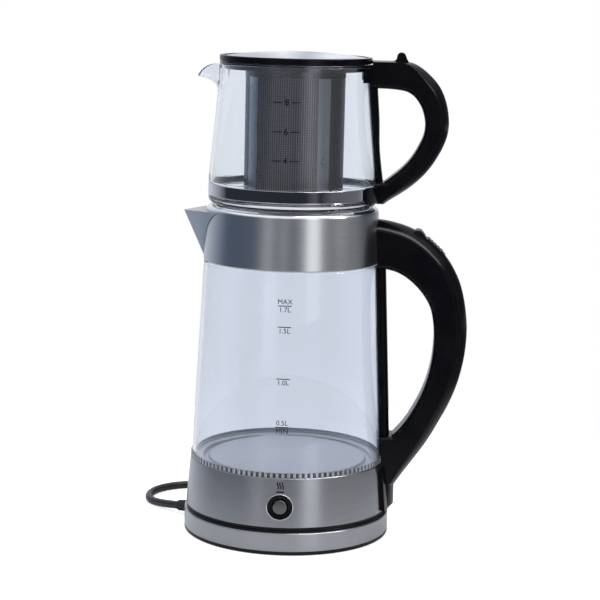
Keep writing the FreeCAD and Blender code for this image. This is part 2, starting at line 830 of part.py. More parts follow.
BOSS_BORE = "socket_outer + run_gap"
COVER_LIP = f"(shell_low_radius - steel_wall - 5 * {SHELL_TAPER})"
kettle_base_cover = turned(
    "kettle_base_cover",
    (
        (BOSS_BORE, COVER_LOW),
        ("shell_low_radius - steel_wall - 0.4", COVER_LOW),
        ("shell_low_radius - steel_wall - 0.4", SHELL_LOW),
        (f"{COVER_LIP} - 0.15", f"{SHELL_LOW} + 5"),
        (f"{COVER_LIP} - 2", f"{SHELL_LOW} + 5"),
        (f"{COVER_LIP} - 2", f"{COVER_LOW} + cover_wall"),
        ("socket_outer + 3", f"{COVER_LOW} + cover_wall"),
        ("socket_outer + 3", "socket_top - 3.4"),
        (BOSS_BORE, "socket_top - 3.4"),
    ),
    [("0.6", [("shell_low_radius - steel_wall - 0.4", COVER_LOW)])],
)
COVER_SCREWS = round_the_axis("pillar_circle + 8", 3, 90)
drill(
    kettle_base_cover,
    "cover_screw_holes",
    [(x, y, "screw_radius + seat_gap") for x, y in COVER_SCREWS],
    f"{COVER_LOW} - 1",
    f"{COVER_LOW} + cover_wall + 1",
)
drill(
    kettle_base_cover,
    "cover_head_recesses",
    [(x, y, "screw_head + seat_gap") for x, y in COVER_SCREWS],
    f"{COVER_LOW} - 1",
    f"{COVER_LOW} + screw_head_high + rest_gap",
)

lower_shell = turned(
    "lower_shell",
    (
        ("shell_low_radius", SHELL_LOW),
        ("shell_top_radius", SHELL_TOP),
        ("shell_top_radius - shell_lip", SHELL_TOP),
        ("shell_top_radius - shell_lip", f"{SHELL_TOP} - steel_wall"),
        ("shell_top_radius - steel_wall", f"{SHELL_TOP} - steel_wall"),
        ("shell_low_radius - steel_wall", SHELL_LOW),
    ),
)
HANDLE_SCREW_HEIGHTS = (f"{SHELL_LOW} + 10", f"{SHELL_LOW} + 24")
drill(
    lower_shell,
    "switch_hole",
    [("0", "switch_high", "bezel_radius + seat_gap")],
    "0",
    "base_radius + 5",
    role="XZ_Plane",
)
side_holes = sketch_on(lower_shell, "handle_hole_sketch", "YZ_Plane", "base_radius + 5")
circles(side_holes, [("0", z, "screw_radius + seat_gap") for z in HANDLE_SCREW_HEIGHTS])
side_pocket = lower_shell.newObject("PartDesign::Pocket", "handle_holes")
side_pocket.Profile = side_holes
side_pocket.setExpression("Length", bound("base_radius + 5"))
doc.recompute()

group(
    "kettle_base_screws",
    [
        screw(f"kettle_base_screw_{index}", x, y, f"{COVER_LOW} + 0.2", "6", True)
        for index, (x, y) in enumerate(COVER_SCREWS)
    ],
)


def fluted_ring():
    """The toothed trim ring between the shell and the glass."""
    crest = mm("trim_radius")
    root = mm("trim_radius - tooth_deep")
    count = int(mm("teeth"))
    pitch = 2 * math.pi / count
    spots = []
    for tooth in range(count):
        for share, radius in ((0.0, root), (0.18, crest), (0.5, crest), (0.68, root)):
            angle = (tooth + share) * pitch
            spots.append(Vector(radius * math.cos(angle), radius * math.sin(angle), 0))
    face = Part.Face(Part.makePolygon(spots + spots[:1]))
    low = mm(SHELL_TOP) + mm("seat_gap")
    face.translate(Vector(0, 0, low))
    blank = face.extrude(Vector(0, 0, mm(TRIM_TOP) - low))
    bore = Part.makeCylinder(mm("glass_low_radius + seat_gap") - 0.55, 20, Vector(0, 0, low - 5))
    return blank.cut(bore)


trim = fluted_ring()
glass_cone = lathe(
    [
        (0, mm(GLASS_LOW) - 0.1),
        (mm("glass_low_radius + seat_gap"), mm(GLASS_LOW) - 0.1),
        (mm("glass_top_radius + seat_gap"), mm("glass_top")),
        (0, mm("glass_top")),
    ]
)
plain("trim_ring", trim.cut(glass_cone))

ring(
    "lower_glass_seal",
    "shell_top_radius - shell_lip + 3.2",
    "glass_low_radius - 0.7",
    f"{SHELL_TOP} + seat_gap",
    f"{GLASS_LOW} - seat_gap",
)

turned(
    "kettle_glass",
    (
        ("glass_low_radius - glass_wall", GLASS_LOW),
        ("glass_low_radius", GLASS_LOW),
        ("glass_top_radius", "glass_top"),
        (NECK_RADIUS, "glass_top + 1.2"),
        (NECK_RADIUS, NECK_TOP),
        (f"{NECK_RADIUS} - glass_wall", NECK_TOP),
        (f"{NECK_RADIUS} - glass_wall", "glass_top + 1.2"),
        ("glass_top_radius - glass_wall", "glass_top - 1"),
    ),
    [("0.7", [("glass_low_radius", GLASS_LOW)])],
)

PLATE_RIM = "shell_top_radius - shell_lip + 3"
turned(
    "heating_plate",
    (
        ("0", f"{PLATE_TOP} - plate_sheet"),
        ("plate_radius - plate_sheet", f"{PLATE_TOP} - plate_sheet"),
        ("plate_radius - plate_sheet", f"{PLATE_TOP} - groove_deep - plate_sheet"),
        (
            "plate_radius + groove_wide + plate_sheet",
            f"{PLATE_TOP} - groove_deep - plate_sheet",
        ),
        ("plate_radius + groove_wide + plate_sheet + 1", f"{SHELL_TOP} + seat_gap"),
        (PLATE_RIM, f"{SHELL_TOP} + seat_gap"),
        (PLATE_RIM, f"{SHELL_TOP} + seat_gap + plate_sheet"),
        (
            "plate_radius + groove_wide + 1",
            f"{SHELL_TOP} + seat_gap + plate_sheet",
        ),
        ("plate_radius + groove_wide", f"{PLATE_TOP} - groove_deep"),
        ("plate_radius", f"{PLATE_TOP} - groove_deep"),
        ("plate_radius", PLATE_TOP),
        ("0", PLATE_TOP),
    ),
)

ring("heat_spreader", "0", "spreader_radius", SPREADER_LOW, SPREADER_TOP)

element_height = f"{SPREADER_LOW} - seat_gap - element_tube"
element_face = Part.Face(
    Part.Wire(
        Part.Circle(
            Vector(mm("element_ring"), 0, mm(element_height)), Y_AXIS, mm("element_tube")
        ).toShape()
    )
)
element_loop = element_face.revolve(ORIGIN, Z_AXIS, 320)
ELEMENT_LEG = 9.0
element_legs = []
for turn in (0, 320):
    ahead = Vector(0, -1, 0) if turn == 0 else Vector(0, 1, 0)
    leg = Part.makeCylinder(
        mm("element_tube") - 1.2,
        ELEMENT_LEG,
        Vector(mm("element_ring"), 0, mm(element_height)),
        ahead,
    )
    leg.rotate(ORIGIN, Z_AXIS, turn)
    element_legs.append(leg)
heating_element = plain("heating_element", element_loop.fuse(element_legs))
heating_element.Placement = Placement(ORIGIN, Rotation(Z_AXIS, 110))

turned(
    "control_housing",
    (
        (BOSS_BORE, "socket_top - 3.3"),
        ("housing_radius", "socket_top - 3.3"),
        ("housing_radius", "housing_top"),
        ("0", "housing_top"),
        ("0", "housing_top - 2"),
        ("socket_flange + 1", "housing_top - 2"),
        ("socket_flange + 1", "socket_top - 2.1"),
        (BOSS_BORE, "socket_top - 2.1"),
    ),
    [("1.5", [("housing_radius", "housing_top")])],
)

group(
    "thermostat_discs",
    [
        rod(
            f"thermostat_disc_{index}",
            "6",
            f"{SPREADER_LOW} - seat_gap - housing_top - seat_gap",
            (x, y, "housing_top + seat_gap"),
        )
        for index, (x, y) in enumerate(round_the_axis("17", 2, 20))
    ],
)

# the switch stands behind the front of the shell on the base cover
SWITCH_FACE = f"({SWITCH_Y} - 17)"
SWITCH_DEEP = "14"
switch_block = block(
    "switch_block",
    ("20", SWITCH_DEEP, f"switch_high + 9 - {COVER_LOW} - cover_wall - seat_gap"),
    ("-10", f"-{SWITCH_FACE}", f"{COVER_LOW} + cover_wall + seat_gap"),
)
switch_socket = rod(
    "switch_socket",
    "3.4",
    "9",
    ("0", f"-{SWITCH_FACE} + 9", "switch_high"),
    (X_AXIS, 90),
)
keep("switch_housing", cut_away("switch_housing", switch_block, switch_socket))

BEZEL_FRONT = f"({SWITCH_Y} + bezel_proud)"
bezel = turned(
    "button_bezel",
    (
        ("cap_radius + run_gap", f"{SWITCH_FACE} + seat_gap"),
        ("bezel_radius - 1.6", f"{SWITCH_FACE} + seat_gap"),
        ("bezel_radius - 1.6", f"{SWITCH_Y} - 3"),
        ("bezel_radius", f"{SWITCH_Y} - 3"),
        ("bezel_radius", BEZEL_FRONT),
        ("cap_radius + run_gap", f"{BEZEL_FRONT} - 0.4"),
    ),
    [("0.5", [("bezel_radius", BEZEL_FRONT)])],
)
CAP_FRONT = f"({SWITCH_Y} + cap_proud)"
power_button = turned(
    "power_button",
    (
        ("1.2", f"{SWITCH_FACE} + 3.2"),
        ("cap_radius", f"{SWITCH_FACE} + 3.2"),
        ("cap_radius", CAP_FRONT),
        ("0", CAP_FRONT),
        ("0", f"{SWITCH_FACE} + 6.2"),
        ("1.2", f"{SWITCH_FACE} + 6.2"),
    ),
    [("1.2", [("cap_radius", CAP_FRONT)])],
)
for item in (bezel, power_button):
    item.Placement = Placement(ORIGIN, Rotation(X_AXIS, 90))
    item.setExpression("Placement.Base.z", bound("switch_high"))

# the bright ring lies on the sloping shell and ends level with the bezel
trim_inner = mm("bezel_radius + seat_gap")
trim_front = Vector(0, -mm(f"{BEZEL_FRONT}"), mm("switch_high"))
trim_deep = mm("bezel_radius")
bezel_trim = Part.makeCylinder(
    trim_inner + mm("bezel_ring_wide"), trim_deep, trim_front, Y_AXIS
).cut(Part.makeCylinder(trim_inner, trim_deep, trim_front, Y_AXIS))
shell_cone = lathe(
    [
        (0, mm(SHELL_LOW)),
        (mm("shell_low_radius") + 0.05, mm(SHELL_LOW)),
        (mm("shell_top_radius") + 0.05, mm(SHELL_TOP)),
        (0, mm(SHELL_TOP)),
    ]
)
plain("bezel_trim", bezel_trim.cut(shell_cone))


def spring(coil_radius, wire, length, turns):
    """A compression spring along Z from z = 0, with closed round ends."""
    helix = Part.makeHelix((length - wire) / turns, length - wire, coil_radius)
    helix.translate(Vector(0, 0, wire / 2))
    section = Part.Wire(Part.Circle(Vector(coil_radius, 0, wire / 2), Y_AXIS, wire / 2).toShape())
    return helix.makePipeShell([section], True, True)


SPRING_WIRE = 0.4
switch_spring = plain("power_button_spring", spring(0.75, SPRING_WIRE, 12.0, 9))
switch_spring.Placement = Placement(
    Vector(0, -mm(SWITCH_FACE) + 8.9, mm("switch_high")), Rotation(X_AXIS, 90)
)

# two leads join the switch to the control housing
lead_gap_end = mm(SWITCH_FACE) - mm(SWITCH_DEEP) - 0.1
kettle_lead_solids = [
    Part.makeCylinder(
        LEAD_RADIUS,
        lead_gap_end - math.sqrt(mm("housing_radius") ** 2 - offset**2) - 0.25,
        Vector(offset, -lead_gap_end, mm("housing_top") - 5),
        Y_AXIS,
    )
    for offset in (-4, 4)
]
plain("kettle_leads", Part.makeCompound(kettle_lead_solids))

# the steel collar with its rolled mouth and the seat of the teapot
collar_outer = [
    (mm("collar_low_radius"), mm("collar_low")),
    (mm("collar_top_radius"), mm("collar_top")),
]


def collar_edges(inset):
    """The collar's section offset inwards by inset, from the foot to the mouth."""
    foot = (collar_outer[0][0] - inset, collar_outer[0][1])
    shoulder = (collar_outer[1][0] - inset, collar_outer[1][1])
    mouth = (mm("mouth_radius"), mm(ROLL_TOP) - inset)
    rise = mouth[1] - shoulder[1]
    run_in = shoulder[0] - mouth[0]
    bulge = 0.7071
    middle = (mouth[0] + run_in * bulge, shoulder[1] + rise * bulge)
    arc = Part.Arc(
        Vector(shoulder[0], 0, shoulder[1]),
        Vector(middle[0], 0, middle[1]),
        Vector(mouth[0], 0, mouth[1]),
    ).toShape()
    return foot, shoulder, mouth, arc


sheet_mm = mm("steel_wall")
foot_o, shoulder_o, mouth_o, arc_o = collar_edges(0)
foot_i, shoulder_i, mouth_i, arc_i = collar_edges(sheet_mm)
seat_low = mm(SEAT_LOW)
lip_outer = (mouth_i[0], seat_low)
lip_inner = (mm("seat_inner"), seat_low)
lip_inner_top = (mm("seat_inner"), seat_low + sheet_mm)
well_low = (mouth_o[0] - sheet_mm, seat_low + sheet_mm)
well_top = (mouth_o[0] - sheet_mm, mouth_o[1])
collar_wire = Part.Wire(
    [
        line(foot_o, shoulder_o),
        arc_o,
        line(mouth_o, well_top),
        line(well_top, well_low),
        line(well_low, lip_inner_top),
        line(lip_inner_top, lip_inner),
        line(lip_inner, lip_outer),
        line(lip_outer, mouth_i),
        arc_i,
        line(shoulder_i, foot_i),
        line(foot_i, foot_o),
    ]
)
collar_solid = Part.Face(collar_wire).revolve(ORIGIN, Z_AXIS, 360)


def spout_wedge(inset):
    """The pouring wedge: a triangle at the top that narrows to a point below."""
    top = mm("collar_top")
    tip = Vector(-mm("spout_tip") + inset * 2.2, 0, top)
    low = Vector(-mm("collar_low_radius") + 1.2 * inset, 0, mm("spout_low") + inset * 4)
    left = Vector(-mm("spout_root"), mm("spout_half") - inset, top)
    right = Vector(-mm("spout_root"), -mm("spout_half") + inset, top)
    back = Vector(-mm("spout_root") + 14, 0, top)
    faces = [
        Part.Face(Part.makePolygon([tip, left, back, right, tip])),
        Part.Face(Part.makePolygon([tip, low, left, tip])),
        Part.Face(Part.makePolygon([tip, right, low, tip])),
        Part.Face(Part.makePolygon([left, low, back, left])),
        Part.Face(Part.makePolygon([right, back, low, right])),
    ]
    solid = Part.Solid(Part.Shell(faces))
    if solid.Volume < 0:
        solid.reverse()
    return solid


collar_envelope = lathe(
    [
        (0, foot_o[1] - 20),
        (foot_o[0] + 0.05 + 1.0, foot_o[1] - 20),
        (foot_o[0] + 0.05, foot_o[1]),
        (shoulder_o[0] + 0.05, shoulder_o[1]),
        (shoulder_o[0] + 0.05, shoulder_o[1] + 10),
        (0, shoulder_o[1] + 10),
    ]
)
wedge_outer = spout_wedge(0)
wedge_inner = spout_wedge(sheet_mm)
raised_inner = wedge_inner.copy()
raised_inner.translate(Vector(0, 0, 0.01))
spout_shell = wedge_outer.cut(raised_inner).cut(collar_envelope)
kettle_spout = plain("kettle_spout", spout_shell.Solids[0] if spout_shell.Solids else spout_shell)
pour_window = spout_wedge(sheet_mm + 1.4)
pour_window.translate(Vector(0, 0, -2.5))
plain("kettle_collar", collar_solid.cut(pour_window))

turned(
    "teapot_seat_ring",
    (
        ("seat_inner + 0.5", f"{SEAT_LOW} + steel_wall + seat_gap"),
        ("mouth_radius - steel_wall - seat_gap", f"{SEAT_LOW} + steel_wall + seat_gap"),
        ("mouth_radius - steel_wall - seat_gap", SEAT_TOP),
        ("seat_inner + 0.5", SEAT_TOP),
    ),
)
turned(
    "upper_glass_seal",
    (
        (f"{NECK_RADIUS} + seat_gap", "glass_top + 1.4"),
        ("collar_low_radius - 0.3", "collar_low - seat_gap - 0.8"),
        ("collar_low_radius - 0.3", "collar_low - seat_gap"),
        (f"{NECK_RADIUS} + 1.15", "collar_low - seat_gap"),
        (f"{NECK_RADIUS} + 1.0", NECK_TOP),
        (f"{NECK_RADIUS} + seat_gap", NECK_TOP),
    ),
)

# ------------------------------------------------------------ kettle handle

# what the handle leans on: shell, trim, glass and collar, with a seat gap
HUG = mm("seat_gap")
kettle_envelope = lathe(
    [
        (0, mm(SHELL_LOW) - 10),
        (mm("shell_low_radius") + HUG, mm(SHELL_LOW) - 10),
        (mm("shell_low_radius") + HUG, mm(SHELL_LOW)),
        (mm("shell_top_radius") + HUG, mm(SHELL_TOP)),
        (mm("trim_radius") + 0.3, mm(SHELL_TOP)),
        (mm("trim_radius") + 0.3, mm(TRIM_TOP) + 0.1),
        (mm(f"glass_low_radius - 2 * {GLASS_TAPER}") + HUG + 0.05, mm(TRIM_TOP) + 0.1),
        (mm("glass_top_radius") + HUG, mm("glass_top")),
        (mm("collar_low_radius") + HUG, mm("collar_low") - 1),
        (mm("collar_low_radius") + HUG, mm("collar_low")),
        (mm("collar_top_radius") + HUG, mm("collar_top")),
        (mm("collar_top_radius") + HUG, mm("collar_top") + 10),
        (0, mm("collar_top") + 10),
    ]
)


def inset(points, distance):
    """Points of a path moved to its right hand side, seen with +X right and +Z up."""
    moved = []
    last = len(points) - 1
    for index, (x, z) in enumerate(points):
        before = points[max(index - 1, 0)]
        after = points[min(index + 1, last)]
        ahead = Vector(after[0] - before[0], 0, after[1] - before[1]).normalize()
        moved.append((x + ahead.z * distance, z - ahead.x * distance))
    return moved




def beside_kettle(height, proud=0.0):
    """The radius of the kettle's outside at a height, and proud more."""
    if height < mm(SHELL_TOP):
        fall = max(height - mm(SHELL_LOW), 0.0)
        return mm("shell_low_radius") - fall * mm(SHELL_TAPER) + proud
    if height < mm("glass_top"):
        return mm("glass_low_radius") - (height - mm(GLASS_LOW)) * mm(GLASS_TAPER) + proud
    fall = min(height - mm("collar_low"), mm("collar_high"))
    return mm("collar_low_radius") - fall * mm("collar_draw / collar_high") + proud


def grip_spots(shares):
    """Points of the grip from their shares of its reach and of its rise up the kettle."""
    spots = []
    for out, up in shares:
        height = mm(SHELL_LOW) + up * mm(f"collar_top - {SHELL_LOW}")
        spots.append((beside_kettle(height, out * mm("grip_reach")), height))
    return spots


# the two curves of the grip seen from the side, as shares of its reach and its rise
GRIP_OUTER = (
    (-0.1103, 0.97935),
    (0.0282, 0.97621),
    (0.1508, 0.97038),
    (0.3184, 0.95691),
    (0.4543, 0.93851),
    (0.5885, 0.91113),
    (0.7062, 0.87792),
    (0.7963, 0.84560),
    (0.8805, 0.80521),
    (0.9383, 0.76167),
    (0.9809, 0.70108),
    (0.9999, 0.62926),
    (0.9858, 0.56194),
    (0.9472, 0.49686),
    (0.8805, 0.42953),
    (0.7863, 0.36445),
    (0.6573, 0.29443),
    (0.5130, 0.22531),
    (0.3642, 0.16607),
    (0.2194, 0.11670),
    (0.1192, 0.07855),
)
GRIP_INNER = (
    (0.1085, 0.24686),
    (0.2359, 0.28815),
    (0.3506, 0.33707),
    (0.4541, 0.39318),
    (0.5318, 0.45197),
    (0.5835, 0.51257),
    (0.6109, 0.57540),
    (0.6108, 0.63151),
    (0.5826, 0.68537),
    (0.5209, 0.72352),
    (0.4307, 0.75763),
    (0.3210, 0.78636),
    (0.2067, 0.80521),
    (0.0907, 0.81463),
)
GRIP_BACK = grip_spots(GRIP_OUTER)
GRIP_FINGERS = grip_spots(GRIP_INNER)
FOOT_FACE_X = mm("shell_low_radius + foot_proud")
FOOT_LOW = mm(RING_TOP) + 0.8
ROOT_X = mm("collar_top_radius") - 6.9


def grip_section(across, outer_ease, inner_ease):
    """The grip's outline at one distance from its middle plane."""
    outer = inset(GRIP_BACK, outer_ease)
    inner = inset(GRIP_FINGERS, inner_ease)
    face_x = FOOT_FACE_X - outer_ease
    corners = [
        outer[-1],
        (face_x, outer[-1][1] - 1.4),
        (face_x, mm(SHELL_LOW) + 1.8),
        (mm("shell_low_radius") + 0.7 - 0.5 * outer_ease, FOOT_LOW),
        (ROOT_X, FOOT_LOW),
        (ROOT_X, inner[0][1]),
        inner[0],
    ]
    edges = [curve(outer)]
    edges += [line(start, end) for start, end in zip(corners, corners[1:])]
    edges.append(curve(inner))
    edges.append(line(inner[-1], (ROOT_X, inner[-1][1])))
    edges.append(line((ROOT_X, inner[-1][1]), outer[0]))
    wire = Part.Wire(edges)
    wire.translate(Vector(0, across, 0))
    return wire


half = mm("handle_wide") / 2
EASE = (
    (0.0, mm("bevel_depth"), 3.6),
    (1.0, 3.0, 1.6),
    (3.4, 1.2, 0.2),
    (6.0, 0.2, 0.0),
)
near = [grip_section(half - step, outer, inner) for step, outer, inner in EASE]
far = [grip_section(step - half, outer, inner) for step, outer, inner in EASE]
grip = Part.makeLoft(near + far[::-1], True, True)
foot_pad = lathe(
    [
        (ROOT_X, mm(SHELL_LOW) + 0.4),
        (mm("shell_low_radius + foot_flange_thick"), mm(SHELL_LOW) + 0.4),
        (mm("shell_top_radius + foot_flange_thick"), mm(SHELL_LOW) + mm("foot_flange_high")),
        (ROOT_X, mm(SHELL_LOW) + mm("foot_flange_high")),
    ]
)
pad_half = mm("foot_flange_half")
pad_room = slab(
    Vector(ROOT_X, -pad_half, 0), Vector(FOOT_FACE_X + pad_half, pad_half, mm(SHELL_TOP))
)
foot_pad = foot_pad.common(pad_room)
handle = grip.fuse(foot_pad).cut(kettle_envelope)

# the release button lies in a slot along the top of the grip
SLOPE_SPOTS = grip_spots(
    (
        (0.4231, 0.94569),
        (0.7546, 0.86311),
    )
)
SLOPE_START, SLOPE_END = [Vector(x, 0, z) for x, z in SLOPE_SPOTS]
slope = (SLOPE_END - SLOPE_START).normalize()
push_out = Vector(-slope.z, 0, slope.x)


def on_slope(along, out):
    """A point of the middle plane, along the slope and out of it, as (x, z)."""
    spot = SLOPE_START + slope * along + push_out * out
    return (spot.x, spot.z)


SLOPE_LONG = (SLOPE_END - SLOPE_START).Length
BUTTON_DEEP = 5.0
BUTTON_GAP = mm("rest_gap")
SLOT_FLOOR = -(BUTTON_DEEP + mm("release_travel") + BUTTON_GAP)


def outline(points):
    return [line(start, end) for start, end in zip(points, points[1:] + points[:1])]


slot = wall_of(
    outline(
        [
            on_slope(-BUTTON_GAP, SLOT_FLOOR),
            on_slope(SLOPE_LONG + BUTTON_GAP, SLOT_FLOOR),
            on_slope(SLOPE_LONG + BUTTON_GAP, 12),
            on_slope(-BUTTON_GAP, 12),
        ]
    ),
    mm("release_wide") + 2 * BUTTON_GAP,
)
RIB_COUNT = 5
rib_start = 10.6
rib_step = (SLOPE_LONG - rib_start - 2.6) / RIB_COUNT
top_line = [on_slope(0.1, 0.2), on_slope(3.6, 2.9), on_slope(8.0, 1.6), on_slope(10.2, 0.3)]
for rib in range(RIB_COUNT):
    left = rib_start + rib * rib_step
    rise = 2.0 - 0.2 * rib
    top_line.append(on_slope(left + 0.25 * rib_step, rise))
    top_line.append(on_slope(left + 0.7 * rib_step, rise))
    top_line.append(on_slope(left + rib_step, rise - 0.6))
top_line.append(on_slope(SLOPE_LONG, 0.2))
button_sides = [on_slope(SLOPE_LONG, -BUTTON_DEEP), on_slope(0.1, -BUTTON_DEEP)]
release_body = wall_of(outline(top_line + button_sides), mm("release_wide"))
STEM_LONG = 5.0
middle_x, middle_z = on_slope(SLOPE_LONG / 2, -BUTTON_DEEP)
stem_top = Vector(middle_x, 0, middle_z)
stem = Part.makeCylinder(2.0, STEM_LONG, stem_top - push_out * STEM_LONG, push_out)
release_button = plain("release_button", release_body.fuse(stem).removeSplitter())
WELL_LONG = 21.0
well = Part.makeCylinder(2.0 + 0.08, WELL_LONG, stem_top - push_out * WELL_LONG, push_out)
handle = handle.cut([slot, well])
release_spring_long = WELL_LONG - STEM_LONG - mm("release_travel") - BUTTON_GAP
release_spring = spring(1.6, 0.5, release_spring_long - 0.1, 8)
release_spring.Placement = Placement(
    stem_top - push_out * (WELL_LONG - 0.05), Rotation(Z_AXIS, push_out)
)
plain("release_spring", release_spring)

SCREW_LONG = 8.5
handle_screws = []
for height in HANDLE_SCREW_HEIGHTS:
    level = mm(height)
    inner_face = mm(f"shell_low_radius - steel_wall - ({height} - {SHELL_LOW}) * {SHELL_TAPER}")
    head_x = inner_face - mm("screw_head_high") - 0.35
    shank = Part.makeCylinder(
        mm("screw_radius"), SCREW_LONG, Vector(head_x, 0, level), X_AXIS
    )
    head = Part.makeCylinder(
        mm("screw_head"), mm("screw_head_high"), Vector(head_x, 0, level), X_AXIS
    )
    bore = Part.makeCylinder(
        mm("screw_radius") + 0.02, SCREW_LONG + 0.3, Vector(head_x, 0, level), X_AXIS
    )
    handle_screws.append(shank.fuse(head))
    handle = handle.cut(bore)
plain("handle_screws", Part.makeCompound(handle_screws))
plain("kettle_handle", handle)

spine_half = mm("spine_wide") / 2
spine_low = GRIP_FINGERS[0][1] + 0.1
spine_high = GRIP_FINGERS[-1][1] - 0.1

SPINE_EASE = ((0.0, 3.0), (1.2, 1.1), (2.6, 0.3), (4.5, 0.0))


def spine_section(across, ease, low, high, radius_at):
    corners = [
        (radius_at(low, -8.0), low),
        (radius_at(low, mm("spine_proud") - ease), low),
        (radius_at(high, mm("spine_proud") - ease), high),
        (radius_at(high, -8.0), high),
    ]
    wire = Part.Wire(outline(corners))
    wire.translate(Vector(0, across, 0))
    return wire


spine_near = [
    spine_section(spine_half - step, ease, spine_low, spine_high, beside_kettle)
    for step, ease in SPINE_EASE
]
spine_far = [
    spine_section(step - spine_half, ease, spine_low, spine_high, beside_kettle)
    for step, ease in SPINE_EASE
]
spine = Part.makeLoft(spine_near + spine_far[::-1], True, True)
plain("kettle_spine", spine.cut(kettle_envelope))

# -------------------------------------------------------------------- teapot

POT_INNER_BASE = f"({POT_BASE} + pot_base_thick + 0.8)"
bowl = turned(
    "teapot_glass",
    (
        ("pot_foot_inner", POT_LOW),
        ("pot_foot_radius", POT_LOW),
        ("pot_foot_radius", f"{POT_BASE} - 1.2"),
        ("pot_foot_radius + 1.4", POT_BASE),
        ("pot_low_radius - 1.8", f"{POT_BASE} + 0.2"),
        ("pot_low_radius", f"{POT_BASE} + 2.2"),
        ("band_radius - 0.1", "band_low - 1.2"),
        (BAND_GLASS, "band_low - 0.4"),
        (BAND_GLASS, f"{BAND_TOP} + 0.4"),
        ("band_radius - 0.1", f"{BAND_TOP} + 1.2"),
        ("band_radius - 0.2", "pot_shoulder"),
        ("pot_neck_radius", "pot_neck"),
        ("pot_rim_radius", "pot_neck + 10"),
        ("pot_rim_radius", "pot_rim"),
        ("pot_rim_radius - pot_wall", "pot_rim"),
        ("pot_rim_radius - pot_wall", "pot_neck + 10"),
        ("pot_neck_radius - pot_wall", "pot_neck"),
        ("band_radius - 0.2 - pot_wall", "pot_shoulder"),
        (f"{BAND_GLASS} - pot_wall", "band_low"),
        ("pot_foot_radius + 1", POT_INNER_BASE),
        ("0", POT_INNER_BASE),
        ("0", f"{POT_BASE} + 0.8"),
        ("pot_foot_inner", f"{POT_BASE} + 0.8"),
    ),
)


def trough(stations):
    """A loft through upright U sections given as (x, half width, top, low)."""
    wires = []
    for x, wide, top, low in stations:
        spots = []
        for step in range(TROUGH_SIDES + 1):
            turn = math.pi * (step / TROUGH_SIDES - 0.5)
            spots.append(Vector(x, wide * math.sin(turn), top - (top - low) * math.cos(turn)))
        wires.append(Part.makePolygon(spots + spots[:1]))
    return Part.makeLoft(wires, True, True)


TROUGH_SIDES = 12
rim_x = -mm("pot_rim_radius")
tip_x = -mm("lip_tip")
lip_half = mm("lip_half")
lip_low = mm("lip_low")
lip_high = mm("lip_high")
lip_wall = mm("pot_wall") - 0.4
lip_outer_stations = (
    (rim_x + 3, lip_half, mm("pot_rim") - 0.6, lip_low - 4.6),
    (rim_x - 6.5, lip_half * 0.62, lip_high + 1.2, lip_low - 0.9),
    (tip_x + 3.0, lip_half * 0.36, lip_high - 0.6, lip_low + 0.4),
    (tip_x, lip_half * 0.22, lip_high - 2.2, lip_low + 2.6),
)
lip_inner_stations = [
    (x + 0.2 * (index == 3) - 6 * (index == 3), wide - lip_wall * 0.9, top + 4, low + lip_wall)
    for index, (x, wide, top, low) in enumerate(lip_outer_stations)
]
lip_outer = trough(lip_outer_stations)
lip_inner = trough(lip_inner_stations)
bowl_room = lathe(
    [
        (0, mm("pot_neck") - 20),
        (mm("pot_neck_radius") - 0.4, mm("pot_neck") - 20),
        (mm("pot_neck_radius") - 0.4, mm("pot_neck")),
        (mm("pot_rim_radius") - 0.4, mm("pot_neck + 10")),
        (mm("pot_rim_radius") - 0.4, mm("pot_rim") + 10),
        (0, mm("pot_rim") + 10),
    ]
)
made.remove(bowl)
bowl.Label = "teapot_glass_blank"
lip = lip_outer.cut(bowl_room)
plain("teapot_glass", bowl.Shape.fuse(lip).cut(lip_inner).removeSplitter())

ring("teapot_band", f"{BAND_GLASS} + seat_gap", "band_radius", "band_low", BAND_TOP)

pot_envelope = lathe(
    [
        (0, mm(POT_LOW)),
        (mm("band_radius") + HUG, mm(POT_LOW)),
        (mm("band_radius") + HUG, mm("pot_shoulder")),
        (mm("pot_neck_radius") + HUG, mm("pot_neck")),
        (mm("pot_rim_radius") + HUG, mm("pot_neck + 10")),
        (mm("pot_rim_radius") + HUG, mm("pot_rim") + 0.2),
        (mm("lid_radius") + 1.6, mm("pot_rim") + 0.2),
        (mm("lid_radius") + 1.6, mm("pot_rim") + 20),
        (0, mm("pot_rim") + 20),
    ]
)


def sector(inner, outer, low, high, half_angle):
    """A piece of a ring about the axis, centred on +X."""
    blank = lathe([(inner, low), (outer, low), (outer, high), (inner, high)])
    reach = 2 * outer
    side = reach * math.tan(math.radians(half_angle))
    wedge = Part.Face(
        Part.makePolygon(
            [ORIGIN, Vector(reach, -side, 0), Vector(reach, side, 0), ORIGIN]
        )
    ).extrude(Vector(0, 0, 2 * high))
    return blank.common(wedge)


clamp_outer = mm("band_radius") + HUG + mm("clamp_thick")
clamp = sector(
    mm("band_radius") + HUG, clamp_outer, mm("band_low") - 2.6, mm(BAND_TOP) + 0.9, mm("clamp_half")
)


def beside_pot(height, proud=0.0):
    """The radius of the teapot's outside at a height, and proud more."""
    if height < mm("pot_shoulder"):
        return mm("band_radius") + proud
    if height < mm("pot_neck"):
        fall = height - mm("pot_shoulder")
        return mm("band_radius") - fall * mm("pot_draw / pot_side_high") + proud
    rest = max(mm("pot_neck + 10") - height, 0.0)
    return mm("pot_rim_radius") + rest * mm("pot_neck_draw") / 10 + proud


def pot_grip_spots(shares):
    """Points of the teapot's grip from their shares of its reach and of its rise."""
    spots = []
    for out, up in shares:
        height = mm("band_low") + up * mm("pot_rim - band_low")
        spots.append((beside_pot(height, out * mm("pot_grip_reach")), height))
    return spots


